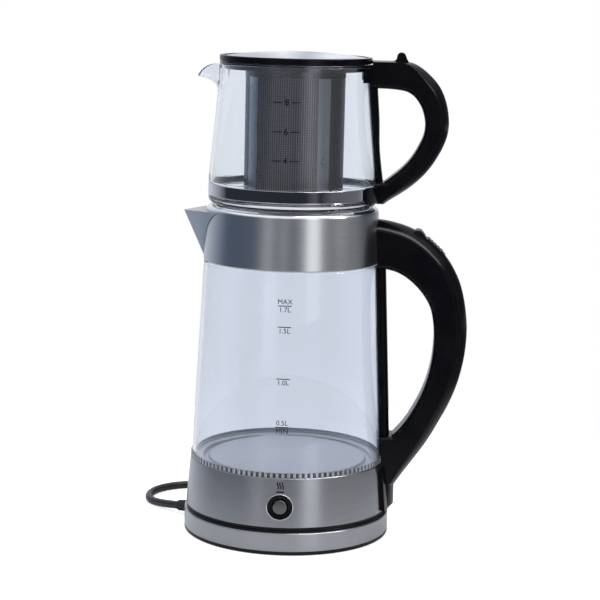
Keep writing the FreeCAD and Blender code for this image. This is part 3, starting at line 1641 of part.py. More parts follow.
# the two curves of the teapot's grip, as shares of its reach and its rise
POT_GRIP_OUTER = (
    (-0.0238, 1.04812),
    (0.1044, 1.04812),
    (0.2692, 1.04812),
    (0.4158, 1.04707),
    (0.5440, 1.03556),
    (0.6630, 1.00000),
    (0.7674, 0.95188),
    (0.8633, 0.89540),
    (0.9318, 0.83264),
    (0.9789, 0.75314),
    (1.0012, 0.66736),
    (1.0004, 0.57531),
    (0.9717, 0.49163),
    (0.9101, 0.40795),
    (0.8228, 0.32427),
    (0.7172, 0.24059),
    (0.5987, 0.16736),
    (0.4689, 0.10042),
    (0.3223, 0.03766),
    (0.1538, -0.02510),
)
POT_GRIP_INNER = (
    (0.0769, 0.12343),
    (0.1814, 0.16946),
    (0.3123, 0.22908),
    (0.4256, 0.29289),
    (0.5174, 0.35983),
    (0.5869, 0.42469),
    (0.6432, 0.48745),
    (0.6727, 0.55439),
    (0.6741, 0.61715),
    (0.6523, 0.68410),
    (0.6135, 0.73640),
    (0.5487, 0.78661),
    (0.4614, 0.81799),
    (0.3528, 0.83054),
    (0.2069, 0.83682),
    (0.0679, 0.83891),
)
POT_GRIP_BACK = pot_grip_spots(POT_GRIP_OUTER)
POT_GRIP_FINGERS = pot_grip_spots(POT_GRIP_INNER)
POT_ROOT_X = mm("pot_rim_radius") - 1.3
POT_FOOT_LOW = mm(POT_BASE) + 0.8


def pot_grip_section(across, outer_ease, inner_ease):
    """The teapot grip's outline at one distance from its middle plane."""
    outer = inset(POT_GRIP_BACK, outer_ease)
    inner = inset(POT_GRIP_FINGERS, inner_ease)
    corners = [
        outer[-1],
        (mm("band_radius") + 4.4 - 0.4 * outer_ease, POT_FOOT_LOW + 0.3 * outer_ease),
        (POT_ROOT_X, POT_FOOT_LOW + 0.3 * outer_ease),
        (POT_ROOT_X, inner[0][1]),
        inner[0],
    ]
    edges = [curve(outer)]
    edges += [line(start, end) for start, end in zip(corners, corners[1:])]
    edges.append(curve(inner))
    edges.append(line(inner[-1], (POT_ROOT_X, inner[-1][1])))
    edges.append(line((POT_ROOT_X, inner[-1][1]), outer[0]))
    wire = Part.Wire(edges)
    wire.translate(Vector(0, across, 0))
    return wire


pot_half = mm("pot_handle_wide") / 2
near = [pot_grip_section(pot_half - step, outer, inner) for step, outer, inner in EASE]
far = [pot_grip_section(step - pot_half, outer, inner) for step, outer, inner in EASE]
pot_handle = Part.makeLoft(near + far[::-1], True, True)
neck_pad = sector(
    mm("pot_rim_radius") - 1,
    mm("pot_rim_radius") + HUG + 2.4,
    mm("pot_rim") - 11,
    mm("pot_rim") - 0.1,
    27,
)
clamp_room = sector(
    0, clamp_outer + HUG, mm("band_low") - 2.7, mm(BAND_TOP) + 1.0, mm("clamp_half") + 1
)
pot_handle = pot_handle.fuse(neck_pad).cut([pot_envelope, clamp_room])

# the lid's lever sinks into a slot of the handle round the hinge pin
hinge = Vector(mm("hinge_x"), 0, mm("hinge_z"))
lever_half = mm("lever_wide") / 2
lever_reach = mm("lever_reach")
handle_top = mm("pot_handle_top")
pin_radius = mm("hinge_pin_radius")
slot_half = lever_half + mm("rest_gap")
sweep_radius = lever_reach - hinge.x + 1.3
slot_room = Part.makeCylinder(
    sweep_radius, 2 * slot_half, Vector(hinge.x, -slot_half, hinge.z), Y_AXIS
)
slot_room = slot_room.common(
    slab(
        Vector(hinge.x - 4.4, -slot_half, hinge.z - 13.0),
        Vector(lever_reach + 4, slot_half, hinge.z + 20),
    )
)
slot_top = slab(
    Vector(POT_ROOT_X - 5, -slot_half, hinge.z - 4.4),
    Vector(lever_reach + 1.2, slot_half, handle_top + 3),
)
PIN_HALF = 9.5
pin_hole = Part.makeCylinder(
    pin_radius + 0.02, 2 * PIN_HALF + 0.2, hinge - Y_AXIS * (PIN_HALF + 0.1), Y_AXIS
)
pot_handle = pot_handle.cut([slot_room, slot_top, pin_hole])

# one screw from below the clamp's face holds the handle's foot
SCREW_Z = mm("band_low + band_high / 2")
screw_start = mm("band_radius") + HUG + 0.1
band_screw = Part.makeCylinder(
    mm("screw_head"), 1.2, Vector(screw_start, 0, SCREW_Z), X_AXIS
).fuse(
    Part.makeCylinder(mm("screw_radius"), mm("screw_long"), Vector(screw_start, 0, SCREW_Z), X_AXIS)
)
head_room = Part.makeCylinder(
    mm("screw_head") + 0.1, 1.4, Vector(screw_start - 1, 0, SCREW_Z), X_AXIS
)
head_room = head_room.fuse(
    Part.makeCylinder(mm("screw_head") + 0.1, 1.25, Vector(screw_start, 0, SCREW_Z), X_AXIS)
)
shank_room = Part.makeCylinder(
    mm("screw_radius") + 0.02,
    mm("screw_long") + 1,
    Vector(screw_start - 0.5, 0, SCREW_Z),
    X_AXIS,
)
plain("teapot_handle", pot_handle.cut(shank_room))
plain("band_clamp", clamp.cut([head_room, shank_room]))
plain("band_screw", band_screw)
plain(
    "lid_hinge_pin",
    Part.makeCylinder(pin_radius, 2 * PIN_HALF, hinge - Y_AXIS * PIN_HALF, Y_AXIS),
)

pot_spine_half = mm("pot_spine_wide") / 2
spine_heights = [
    POT_GRIP_FINGERS[0][1] + 0.1,
    *(mm("band_low") + share * mm("pot_rim - band_low") for share in (0.363, 0.5941, 0.8232)),
    POT_GRIP_FINGERS[-1][1] - 0.1,
]
POT_SPINE_CORNERS = [
    (beside_pot(height, proud), height)
    for height, proud in zip(spine_heights, (3.2, 2.48, 3.69, 4.02, 4.00))
]


def pot_spine_section(across, ease):
    outer = [(x - ease, z) for x, z in POT_SPINE_CORNERS]
    root_x = POT_ROOT_X - 3
    corners = [(root_x, outer[0][1])] + outer + [(root_x, outer[-1][1])]
    wire = Part.Wire(outline(corners))
    wire.translate(Vector(0, across, 0))
    return wire


near = [pot_spine_section(pot_spine_half - step, 0.7 * ease) for step, ease in SPINE_EASE]
far = [pot_spine_section(step - pot_spine_half, 0.7 * ease) for step, ease in SPINE_EASE]
pot_spine = Part.makeLoft(near + far[::-1], True, True)
plain("teapot_spine", pot_spine.cut(pot_envelope))

# ------------------------------------------------------------------- infuser

MESH_HOLE = 1.3
MESH_ROWS = 8
MESH_COLUMNS = 16
basket_top = mm("pot_rim - infuser_drop") - 0.1
basket_low = mm("basket_low")
basket_radius = mm("basket_radius")
basket_wall = mm("basket_wall")
basket = lathe(
    [
        (0, basket_low),
        (basket_radius - 1.5, basket_low),
        (basket_radius, basket_low + 1.5),
        (basket_radius, basket_top - 0.8),
        (basket_radius + 3, basket_top - 0.8),
        (basket_radius + 3, basket_top),
        (basket_radius - basket_wall, basket_top),
        (basket_radius - basket_wall, basket_low + 1.5 + basket_wall / 2),
        (basket_radius - 1.5 - basket_wall / 2, basket_low + basket_wall),
        (0, basket_low + basket_wall),
    ]
)
mesh_holes = []
for column in range(MESH_COLUMNS // 2):
    for row in range(MESH_ROWS):
        height = basket_low + 9 + row * 8.6
        drill_rod = Part.makeCylinder(
            MESH_HOLE, 2 * basket_radius + 10, Vector(-basket_radius - 5, 0, height), X_AXIS
        )
        drill_rod.rotate(ORIGIN, Z_AXIS, (column + 0.5 * (row % 2)) * 360 / MESH_COLUMNS)
        mesh_holes.append(drill_rod)
plain("infuser_basket", basket.cut(mesh_holes))

NECK_IN = "(infuser_neck - infuser_neck_wall)"
INFUSER_LOW = "(pot_rim - infuser_drop)"
turned(
    "infuser_rim",
    (
        ("basket_radius + 0.3", INFUSER_LOW),
        ("infuser_neck", INFUSER_LOW),
        ("infuser_neck", "pot_rim + seat_gap"),
        ("pot_rim_radius - 0.1", "pot_rim + seat_gap"),
        ("pot_rim_radius - 0.1", INFUSER_TOP),
        (NECK_IN, INFUSER_TOP),
        (NECK_IN, f"{INFUSER_LOW} + 1.4"),
        ("basket_radius + 0.3", f"{INFUSER_LOW} + 1.4"),
    ),
    [("0.4", [("pot_rim_radius - 0.1", INFUSER_TOP)])],
)

# ----------------------------------------------------------------------- lid

turned(
    "lid_rim",
    (
        ("0", "lid_low"),
        ("lid_radius", "lid_low"),
        ("lid_radius", RIM_TOP),
        ("dome_radius + seat_gap", RIM_TOP),
        ("dome_radius + seat_gap", "lid_low + 1.6"),
        ("0", "lid_low + 1.6"),
    ),
    [("0.9", [("lid_radius", RIM_TOP)]), ("0.4", [("lid_radius", "lid_low")])],
)
DOME_SHARES = (1.0, 0.85, 0.7, 0.5, 0.3, 0.12)


def dome_height(share, drop):
    return f"{RIM_TOP} - 0.7 + dome_rise * (1 - {round(share * share, 4)}) - {drop}"


turned(
    "lid_dome",
    [("dome_radius - dome_wall", "lid_low + 1.7"), ("dome_radius", "lid_low + 1.7")]
    + [(f"dome_radius * {share}", dome_height(share, 0)) for share in DOME_SHARES]
    + [("0", dome_height(DOME_SHARES[-1], 0)), ("0", dome_height(DOME_SHARES[-1], "dome_wall"))]
    + [
        (f"(dome_radius - dome_wall) * {share}", dome_height(share, "dome_wall"))
        for share in DOME_SHARES[::-1]
    ],
)
SEAL_LOW = f"({INFUSER_LOW} + 1.4 + rest_gap)"
turned(
    "lid_seal",
    (
        ("0", "lid_low - 1.8"),
        ("seal_radius - 1.6", "lid_low - 1.8"),
        ("seal_radius - 1.6", SEAL_LOW),
        ("seal_radius", SEAL_LOW),
        ("seal_radius", "lid_low - seat_gap"),
        ("0", "lid_low - seat_gap"),
    ),
)

barrel_radius = 3.4
knob_top = handle_top + mm("knob_high")
lever_root = mm("lid_radius") - 1.1
lever_outline = [
    (lever_root, mm("lid_low") + 0.4),
    (hinge.x - 5.3, mm("lid_low") + 0.4),
    (hinge.x - 2.6, hinge.z + 0.2),
    (hinge.x + 2.6, hinge.z + 0.2),
    (hinge.x + 5.2, hinge.z + 1.4),
    (lever_reach, hinge.z + 1.9),
    (lever_reach, handle_top - 0.4),
    (lever_reach - 1.4, handle_top + 1.8),
    (lever_reach - 3.0, knob_top - 2.2),
    (lever_reach - 4.6, knob_top - 0.5),
    (lever_reach - 6.6, knob_top - 0.5),
    (lever_reach - 7.9, knob_top - 2.0),
    (lever_reach - 8.7, handle_top + 1.2),
    (lever_reach - 11.6, handle_top),
    (lever_root, handle_top),
]
lever = wall_of(outline(lever_outline), mm("lever_wide"))
barrel = Part.makeCylinder(
    barrel_radius, 2 * lever_half, Vector(hinge.x, -lever_half, hinge.z), Y_AXIS
)
barrel_bore = Part.makeCylinder(
    pin_radius + 0.08, 4 * lever_half, Vector(hinge.x, -2 * lever_half, hinge.z), Y_AXIS
)
rim_room = Part.makeCylinder(
    mm("lid_radius") + HUG, mm("pot_neck_high") * 2, Vector(0, 0, mm("pot_neck"))
)
plain("lid_lever", lever.fuse(barrel).removeSplitter().cut([barrel_bore, rim_room]))

# -------------------------------------------------------------------- export

doc.recompute()
os.makedirs("parts", exist_ok=True)
problems = []
for item in doc.Objects:
    if "Invalid" in item.State or "Error" in item.State:
        problems.append(f"{item.Label}: {item.State}")
for item in made:
    shape = item.Shape
    if shape.isNull() or not shape.isValid() or not shape.Solids:
        problems.append(f"{item.Label}: no valid solid")
if problems:
    raise RuntimeError("; ".join(problems))
for item in made:
    item.Shape.exportStep(os.path.join("parts", f"{item.Label}.step"))
    box = item.Shape.BoundBox
    print(
        f"{item.Label}: {len(item.Shape.Solids)} solid(s), "
        f"x {box.XMin:.1f}..{box.XMax:.1f} y {box.YMin:.1f}..{box.YMax:.1f} "
        f"z {box.ZMin:.1f}..{box.ZMax:.1f}"
    )
print(f"{len(made)} files")
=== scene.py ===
"""Glass tea maker: a teapot with an infuser on a glass kettle on a round power base.

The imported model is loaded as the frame. Each sub-assembly is a class that holds its
sizes in millimetres, builds its meshes and places them. +X points to the handles,
-X to the pouring spouts and -Y to the front.
"""

import logging
import math
from collections.abc import Callable, Iterable, Sequence
from dataclasses import dataclass
from enum import Enum
from functools import cache

import bmesh
import bpy
from mathutils import Matrix, Vector


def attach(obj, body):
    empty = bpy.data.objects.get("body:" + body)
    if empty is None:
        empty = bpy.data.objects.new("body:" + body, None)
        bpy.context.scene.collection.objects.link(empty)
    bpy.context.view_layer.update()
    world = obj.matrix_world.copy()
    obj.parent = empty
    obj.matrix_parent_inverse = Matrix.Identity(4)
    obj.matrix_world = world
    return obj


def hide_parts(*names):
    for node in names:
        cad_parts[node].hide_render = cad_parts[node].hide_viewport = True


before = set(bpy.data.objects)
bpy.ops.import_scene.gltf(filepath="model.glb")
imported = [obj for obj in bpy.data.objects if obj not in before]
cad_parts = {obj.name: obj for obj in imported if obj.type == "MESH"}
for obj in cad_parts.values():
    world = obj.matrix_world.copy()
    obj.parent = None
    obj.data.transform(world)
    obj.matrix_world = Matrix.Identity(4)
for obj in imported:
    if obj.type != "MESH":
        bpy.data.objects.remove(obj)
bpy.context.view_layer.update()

LOG = logging.getLogger("tea_maker")
MM = 0.001
TURN = 2 * math.pi
INK = 0.06  # the thickness of printed ink in mm
SNUG = 0.1  # the clearance in mm between a handle and what it leans on

Mesh = bmesh.types.BMesh
Material = bpy.types.Material
Socket = bpy.types.NodeSocket
Pair = tuple[float, float]
Colour = tuple[float, float, float]
# corners in order, each a radius, a height and, where it is rounded, by how much, in mm
Section = Sequence[tuple[float, ...]]


class Body(Enum):
    """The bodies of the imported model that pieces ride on."""

    BASE = "power_base"
    KETTLE = "kettle"
    SWITCH = "power_button"
    RELEASE = "release_button"
    TEAPOT = "teapot"
    LID = "lid"


# ------------------------------------------------------------------ mesh helpers


def rounded(
    work: Mesh, geom: list, distance: float, segments: int = 3, affect: str = "EDGES", clamp: bool = False
) -> None:
    """Round edges or vertices by a distance in mm."""
    bmesh.ops.bevel(
        work, geom=geom, offset=distance * MM, offset_type="OFFSET", segments=segments, profile=0.5,
        affect=affect, clamp_overlap=clamp, material=-1,
    )


def faced(work: Mesh) -> Mesh:
    """A mesh with its normals turned outwards."""
    bmesh.ops.recalc_face_normals(work, faces=work.faces[:])
    return work


def turned(corners: Section, steps: int = 240, sweep: float = 360.0, first: float = 0.0) -> Mesh:
    """Spin a closed section about the Z axis.

    Args:
        corners: the section's corners in order.
        steps: how many steps the spin takes.
        sweep: degrees that the section is spun through.
        first: the azimuth where the spin starts, in degrees.

    Returns:
        A closed mesh.
    """
    work = bmesh.new()
    verts = [work.verts.new((radius * MM, 0.0, height * MM)) for radius, height, *_ in corners]
    for pair in zip(verts, verts[1:] + verts[:1]):
        work.edges.new(pair)
    for vert, corner in zip(verts, corners):
        if len(corner) > 2 and corner[2] > 0:
            rounded(work, [vert], corner[2], 4, "VERTICES")
    full = sweep >= 359.99
    start = Matrix.Rotation(math.radians(first), 3, "Z")
    bmesh.ops.rotate(work, verts=work.verts[:], cent=(0, 0, 0), matrix=start)
    bmesh.ops.spin(
        work, geom=work.verts[:] + work.edges[:], cent=(0, 0, 0), axis=(0, 0, 1),
        angle=math.radians(sweep), steps=steps, use_merge=full, use_duplicate=False,
    )
    bmesh.ops.remove_doubles(work, verts=work.verts[:], dist=1e-6)
    bmesh.ops.dissolve_degenerate(work, edges=work.edges[:], dist=1e-7)
    if not full:
        bmesh.ops.holes_fill(work, edges=[e for e in work.edges if e.is_boundary], sides=0)
    return faced(work)


def sector(inner: float, outer: float, low: float, high: float, half_angle: float, ease: float) -> Mesh:
    """A piece of a ring about the axis, centred on +X, with eased edges."""
    corners = ((inner, low, 0.1), (outer, low, ease), (outer, high, ease), (inner, high, 0.1))
    return turned(corners, 48, 2 * half_angle, -half_angle)


def lofted(rings: Sequence[Sequence[Vector]]) -> Mesh:
    """Skin a row of closed rings, in mm, that have as many points each, and fill its ends."""
    work = bmesh.new()
    current = [work.verts.new(spot * MM) for spot in rings[0]]
    edges = [work.edges.new(pair) for pair in zip(current, current[1:] + current[:1])]
    for ring in rings[1:]:
        made = bmesh.ops.extrude_edge_only(work, edges=edges)["geom"]
        fresh = {item for item in made if isinstance(item, bmesh.types.BMVert)}
        current = [
            next(e.other_vert(vert) for e in vert.link_edges if e.other_vert(vert) in fresh) for vert in current
        ]
        for vert, spot in zip(current, ring):
            vert.co = spot * MM
        edges = [work.edges.get(pair) for pair in zip(current, current[1:] + current[:1])]
    bmesh.ops.holes_fill(work, edges=[e for e in work.edges if e.is_boundary], sides=0)
    return faced(work)


def smooth_path(points: Sequence[Pair], count: int) -> list[Vector]:
    """Evenly spaced points on a smooth curve through the given ones.

    Args:
        points: pairs in mm.
        count: how many points come back.

    Returns:
        The points, as pairs in mm.
    """
    knots = [Vector(point) for point in points]
    knots = [2 * knots[0] - knots[1], *knots, 2 * knots[-1] - knots[-2]]
    dense = []
    for a, b, c, d in zip(knots, knots[1:], knots[2:], knots[3:]):
        for t in (step / 16 for step in range(16)):
            bend, twist = 2 * a - 5 * b + 4 * c - d, 3 * b - a - 3 * c + d
            dense.append(0.5 * (2 * b + (c - a) * t + bend * t**2 + twist * t**3))
    dense.append(knots[-2])
    reach = [0.0]
    for near, far in zip(dense, dense[1:]):
        reach.append(reach[-1] + (far - near).length)
    spots = []
    index = 0
    for step in range(count):
        target = reach[-1] * step / (count - 1)
        while index < len(reach) - 2 and reach[index + 1] < target:
            index += 1
        span = reach[index + 1] - reach[index]
        share = 0.0 if span == 0 else (target - reach[index]) / span
        spots.append(dense[index].lerp(dense[index + 1], min(max(share, 0.0), 1.0)))
    return spots


def on_polyline(table: Sequence[Pair], value: float) -> float:
    """Read rising (argument, result) pairs by straight lines, held at the ends."""
    if value <= table[0][0]:
        return table[0][1]
    for (a, low), (b, high) in zip(table, table[1:]):
        if value <= b:
            return low + (high - low) * (value - a) / (b - a)
    return table[-1][1]


def extruded(work: Mesh, wire: list[bmesh.types.BMVert], way: Sequence[float]) -> Mesh:
    """Fill a ring of vertices and pull the face along a way in mm."""
    made = bmesh.ops.extrude_face_region(work, geom=[work.faces.new(wire)])["geom"]
    moved = [item for item in made if isinstance(item, bmesh.types.BMVert)]
    bmesh.ops.translate(work, verts=moved, vec=[MM * value for value in way])
    return faced(work)


def bar_mesh(outline: Iterable[Pair], wide: float, ease: float = 0.0) -> Mesh:
    """An outline of (x, z) pairs in mm, thickened along Y about the middle plane.

    Args:
        outline: the pairs in order.
        wide: the thickness along Y in mm.
        ease: the rounding of every edge in mm.

    Returns:
        A closed mesh.
    """
    work = bmesh.new()
    extruded(work, [work.verts.new((x * MM, -wide * MM / 2, z * MM)) for x, z in outline], (0, wide, 0))
    if ease > 0:
        rounded(work, [e for e in work.edges if e.calc_face_angle(0.0) > 0.5], ease, clamp=True)
    return work


def rod_mesh(
    start: Sequence[float], end: Sequence[float], radius: float, tip: float | None = None, sides: int = 48,
    ease: float = 0.0,
) -> Mesh:
    """A round rod or cone between two points.

    Args:
        start: the first end in mm.
        end: the other end in mm.
        radius: the radius at the start in mm.
        tip: the radius at the end in mm, the same if left out.
        sides: how many sides it has.
        ease: the rounding of the rims in mm.

    Returns:
        A closed mesh.
    """
    work = bmesh.new()
    start, end = Vector(start), Vector(end)
    run = end - start
    bmesh.ops.create_cone(
        work, cap_ends=True, cap_tris=False, segments=sides, radius1=radius * MM,
        radius2=(radius if tip is None else tip) * MM, depth=run.length * MM,
    )
    if ease > 0:
        rounded(work, [e for e in work.edges if e.calc_face_angle(0.0) > 0.6], ease)
    turn = run.to_track_quat("Z", "Y").to_matrix().to_4x4()
    bmesh.ops.transform(work, matrix=Matrix.Translation((start + end) / 2 * MM) @ turn, verts=work.verts[:])
    return work


def ribs(
    near: Vector, far: Vector, girths: Pair, shares: Iterable[float], proud: float, half: float, ease: float
) -> list[Mesh]:
    """Round ribs on a cone.

    Args:
        near: the cone's first end in mm.
        far: its other end.
        girths: its radius at both.
        shares: where the ribs lie along it.
        proud: how far they stand out.
        half: half their width.
        ease: the rounding of their rims.
    """
    way = (far - near).normalized() * half
    rows = [(near.lerp(far, share), girths[0] + (girths[1] - girths[0]) * share + proud) for share in shares]
    return [rod_mesh(middle - way, middle + way, girth, None, 40, ease) for middle, girth in rows]


def merged(parts: Iterable[Mesh]) -> Mesh:
    """One mesh that holds several, which are freed."""
    whole = bmesh.new()
    for part in parts:
        scrap = bpy.data.meshes.new("scrap")
        part.to_mesh(scrap)
        part.free()
        whole.from_mesh(scrap)
        bpy.data.meshes.remove(scrap)
    return whole


# --------------------------------------------------------------------- finishes


class Nodes:
    """Adds and joins the nodes of one shader tree."""

    def __init__(self, tree: bpy.types.NodeTree) -> None:
        """Start from a tree with no nodes."""
        self.tree = tree
        tree.nodes.clear()

    def join(self, socket: Socket, value: object) -> None:
        """Link an input to an output, or set its constant."""
        if isinstance(value, Socket):
            self.tree.links.new(value, socket)
        else:
            socket.default_value = value

    def add(self, kind: str, settings: dict[str, object] | None = None, **inputs: object) -> Sequence[Socket]:
        """A new node.

        Args:
            kind: the node's type name.
            settings: its attributes.
            inputs: its inputs, with underscores for the spaces in their names.

        Returns:
            Its outputs.
        """
        node = self.tree.nodes.new(kind)
        for name, value in (settings or {}).items():
            setattr(node, name, value)
        for name, value in inputs.items():
            self.join(node.inputs[name.replace("_", " ")], value)
        return node.outputs

    def math(self, operation: str, *values: object) -> Socket:
        """The result of a math node on numbers or sockets."""
        node = self.tree.nodes.new("ShaderNodeMath")
        node.operation = operation
        for socket, value in zip(node.inputs, values):
            self.join(socket, value)
        return node.outputs[0]

    def ramp(self, factor: Socket, stops: Sequence[tuple[float, Colour]]) -> Socket:
        """The colour that a ramp gives at a factor."""
        node = self.tree.nodes.new("ShaderNodeValToRGB")
        ends = node.color_ramp.elements
        ends[0].position, ends[1].position = stops[0][0], stops[-1][0]
        ends[0].color, ends[1].color = (*stops[0][1], 1.0), (*stops[-1][1], 1.0)
        for place, colour in stops[1:-1]:
            node.color_ramp.elements.new(place).color = (*colour, 1.0)
        self.join(node.inputs[0], factor)
        return node.outputs[0]

    def blend(self, mask: Socket, first: object, second: object) -> Socket:
        """Two colours, constant or not, mixed by a mask."""
        node = self.tree.nodes.new("ShaderNodeMix")
        node.data_type = "RGBA"
        for index, value in ((0, mask), (6, first), (7, second)):
            self.join(node.inputs[index], (*value, 1.0) if isinstance(value, tuple) else value)
        return node.outputs[2]

    def axes(self, kind: str = "Object") -> Sequence[Socket]:
        """X, Y and Z of a texture coordinate."""
        return self.add("ShaderNodeSeparateXYZ", Vector=self.add("ShaderNodeTexCoord")[kind])[:]

    def radius(self, x: Socket, y: Socket) -> Socket:
        """The distance from the Z axis."""
        return self.math("SQRT", self.math("ADD", self.math("MULTIPLY", x, x), self.math("MULTIPLY", y, y)))

    def effect(self, tree: bpy.types.NodeTree, **inputs: float) -> Sequence[Socket]:
        """The outputs of a shared group."""
        return self.add("ShaderNodeGroup", {"node_tree": tree}, **inputs)

    def bump(self, strength: float, distance: float, height: Socket) -> Socket:
        """A normal bumped by a height."""
        return self.add("ShaderNodeBump", Strength=strength, Distance=distance, Height=height)[0]

    def spread(self, mask: Socket, low: float, high: float) -> Socket:
        """A mask from 0.3 to 0.7 mapped to a range."""
        return self.add(
            "ShaderNodeMapRange", Value=mask, From_Min=0.3, From_Max=0.7, To_Min=low, To_Max=high
        )[0]

    def shade(self, mask: Socket, dark: Colour, light: Colour) -> Socket:
        """Two colours mixed by a mask from 0.3 to 0.7."""
        return self.ramp(mask, ((0.3, dark), (0.7, light)))


def group(name: str, outputs: Sequence[str], **inputs: float) -> Nodes:
    """A shared group with float inputs and outputs."""
    tree = bpy.data.node_groups.new(name, "ShaderNodeTree")
    kind = "NodeSocketFloat"
    for title, start in inputs.items():
        tree.interface.new_socket(name=title, in_out="INPUT", socket_type=kind).default_value = start
    for title in outputs:
        tree.interface.new_socket(name=title, in_out="OUTPUT", socket_type=kind)
    return Nodes(tree)


@cache
def turned_grain() -> bpy.types.NodeTree:
    """Fine brushing that runs round the Z axis."""
    nodes = group("turned_grain", ("Shade", "Height"), Lines=900.0, Reach=3.0, Depth=1.0)
    enter = nodes.add("NodeGroupInput")
    x, y, z = nodes.axes()
    azimuth = nodes.math("ARCTAN2", y, x)
    sides = [nodes.math("MULTIPLY", nodes.math(wave, azimuth), enter["Reach"]) for wave in ("COSINE", "SINE")]
    level = nodes.math("MULTIPLY", nodes.math("ADD", z, nodes.radius(x, y)), enter["Lines"])
    spot = nodes.add("ShaderNodeCombineXYZ", X=sides[0], Y=sides[1], Z=level)[0]
    noise = nodes.add("ShaderNodeTexNoise", Vector=spot, Scale=1.0, Detail=3.0, Roughness=0.65)[0]
    height = nodes.math("MULTIPLY", nodes.math("SUBTRACT", noise, 0.5), enter["Depth"])
    nodes.add("NodeGroupOutput", Shade=noise, Height=height)
    return nodes.tree


@cache
def mottle() -> bpy.types.NodeTree:
    """Soft wear and dust at two sizes."""
    nodes = group("mottle", ("Cloud", "Speck"), Scale=60.0, Fine=2400.0)
    enter = nodes.add("NodeGroupInput")
    place = nodes.add("ShaderNodeTexCoord")["Object"]
    broad = nodes.add("ShaderNodeTexNoise", Vector=place, Scale=enter["Scale"], Detail=3.0)
    fine = nodes.add("ShaderNodeTexNoise", Vector=place, Scale=enter["Fine"], Detail=2.0)
    nodes.add("NodeGroupOutput", Cloud=broad[0], Speck=fine[0])
    return nodes.tree


@dataclass(frozen=True)
class Finish:
    """A surface made with a Principled shader."""

    name: str

    def inputs(self, nodes: Nodes) -> dict[str, object]:
        """What goes into the shader's inputs."""
        raise NotImplementedError

    @cache
    def build(self) -> Material:
        """The material, built once."""
        material = bpy.data.materials.new(self.name)
        material.use_nodes = True
        nodes = Nodes(material.node_tree)
        shader = nodes.add("ShaderNodeBsdfPrincipled", **self.inputs(nodes))
        nodes.add("ShaderNodeOutputMaterial", Surface=shader[0])
        return material


@dataclass(frozen=True)
class BrushedSteel(Finish):
    """Stainless steel brushed round the axis, and polished above a height, where it is also painted paler as a
    painted highlight.
    """

    dark: Colour = (0.55, 0.56, 0.575)
    light: Colour = (0.58, 0.59, 0.605)
    rough: Pair = (0.27, 0.33)
    lines: float = 3200.0
    bump: float = 0.002
    stretch: float = 0.75
    polish_from: float = 1000.0
    # the colour above polish_from: smoother than the brushed steel, and its paleness is a painted highlight on
    # the shoulder
    polish_and_highlight: Colour = (0.9, 0.905, 0.92)

    def inputs(self, nodes: Nodes) -> dict[str, object]:
        """What goes into the shader's inputs."""
        grain = nodes.effect(turned_grain(), Lines=self.lines, Reach=2.2, Depth=1.0)
        polished = nodes.math("GREATER_THAN", nodes.axes()[2], self.polish_from * MM)
        smoother = nodes.math("SUBTRACT", 1.0, nodes.math("MULTIPLY", polished, 0.6))
        brushed = nodes.spread(grain["Shade"], *self.rough)
        return {
            "Base_Color": nodes.blend(
                polished, nodes.shade(grain["Shade"], self.dark, self.light), self.polish_and_highlight
            ),
            "Metallic": 1.0,
            "Roughness": nodes.math("MULTIPLY", brushed, smoother),
            "Anisotropic": self.stretch,
            "Anisotropic_Rotation": 0.25,
            "Normal": nodes.bump(self.bump, 0.0004, grain["Height"]),
            "Tangent": nodes.add("ShaderNodeTangent", {"direction_type": "RADIAL", "axis": "Z"})[0],
        }


@dataclass(frozen=True)
class Bright(Finish):
    """Polished or satin metal."""

    colour: Colour = (0.78, 0.79, 0.8)
    rough: Pair = (0.06, 0.14)

    def inputs(self, nodes: Nodes) -> dict[str, object]:
        """What goes into the shader's inputs."""
        cloud = nodes.effect(mottle(), Scale=90.0, Fine=1500.0)["Cloud"]
        dark = tuple(0.93 * channel for channel in self.colour)
        return {
            "Base_Color": nodes.shade(cloud, dark, self.colour),
            "Metallic": 1.0,
            "Roughness": nodes.spread(cloud, *self.rough),
        }


@dataclass(frozen=True)
class ToothedSteel(Finish):
    """Satin steel with painted shade between the teeth of the trim ring, and pale on its lined bore."""

    crest: float = 73.0
    deep: float = 0.35
    seat: float = 72.2
    # root: painted shade in the valleys between the teeth, not a colour of the steel
    root: Colour = (0.1, 0.105, 0.12)
    face: Colour = (0.5, 0.51, 0.54)
    lining: Colour = (0.78, 0.8, 0.85)

    def inputs(self, nodes: Nodes) -> dict[str, object]:
        """What goes into the shader's inputs."""
        x, y, _ = nodes.axes()
        radius = nodes.radius(x, y)
        outside = nodes.math("GREATER_THAN", radius, self.seat * MM)
        below = nodes.math("LESS_THAN", radius, (self.crest - self.deep) * MM)
        # the inner part of each tooth valley gets the painted shade colour
        teeth = nodes.blend(nodes.math("MULTIPLY", outside, below), self.face, self.root)
        return {
            "Base_Color": nodes.blend(outside, self.lining, teeth),
            "Metallic": outside,
            "Roughness": nodes.spread(nodes.effect(mottle())["Cloud"], 0.14, 0.26),
        }


@dataclass(frozen=True)
class Moulded(Finish):
    """Moulded plastic, rubber or silicone with a fine skin."""

    colour: Colour
    rough: Pair
    skin: float
    speck: float = 2600.0
    level: float = 0.5

    def inputs(self, nodes: Nodes) -> dict[str, object]:
        """What goes into the shader's inputs."""
        wear = nodes.effect(mottle(), Scale=55.0, Fine=self.speck)
        lighter = tuple(min(1.0, 1.18 * channel + 0.002) for channel in self.colour)
        return {
            "Base_Color": nodes.shade(wear["Cloud"], self.colour, lighter),
            "Roughness": nodes.spread(wear["Cloud"], *self.rough),
            "Normal": nodes.bump(self.skin, 0.0003, wear["Speck"]),
            "Specular_IOR_Level": self.level,
        }


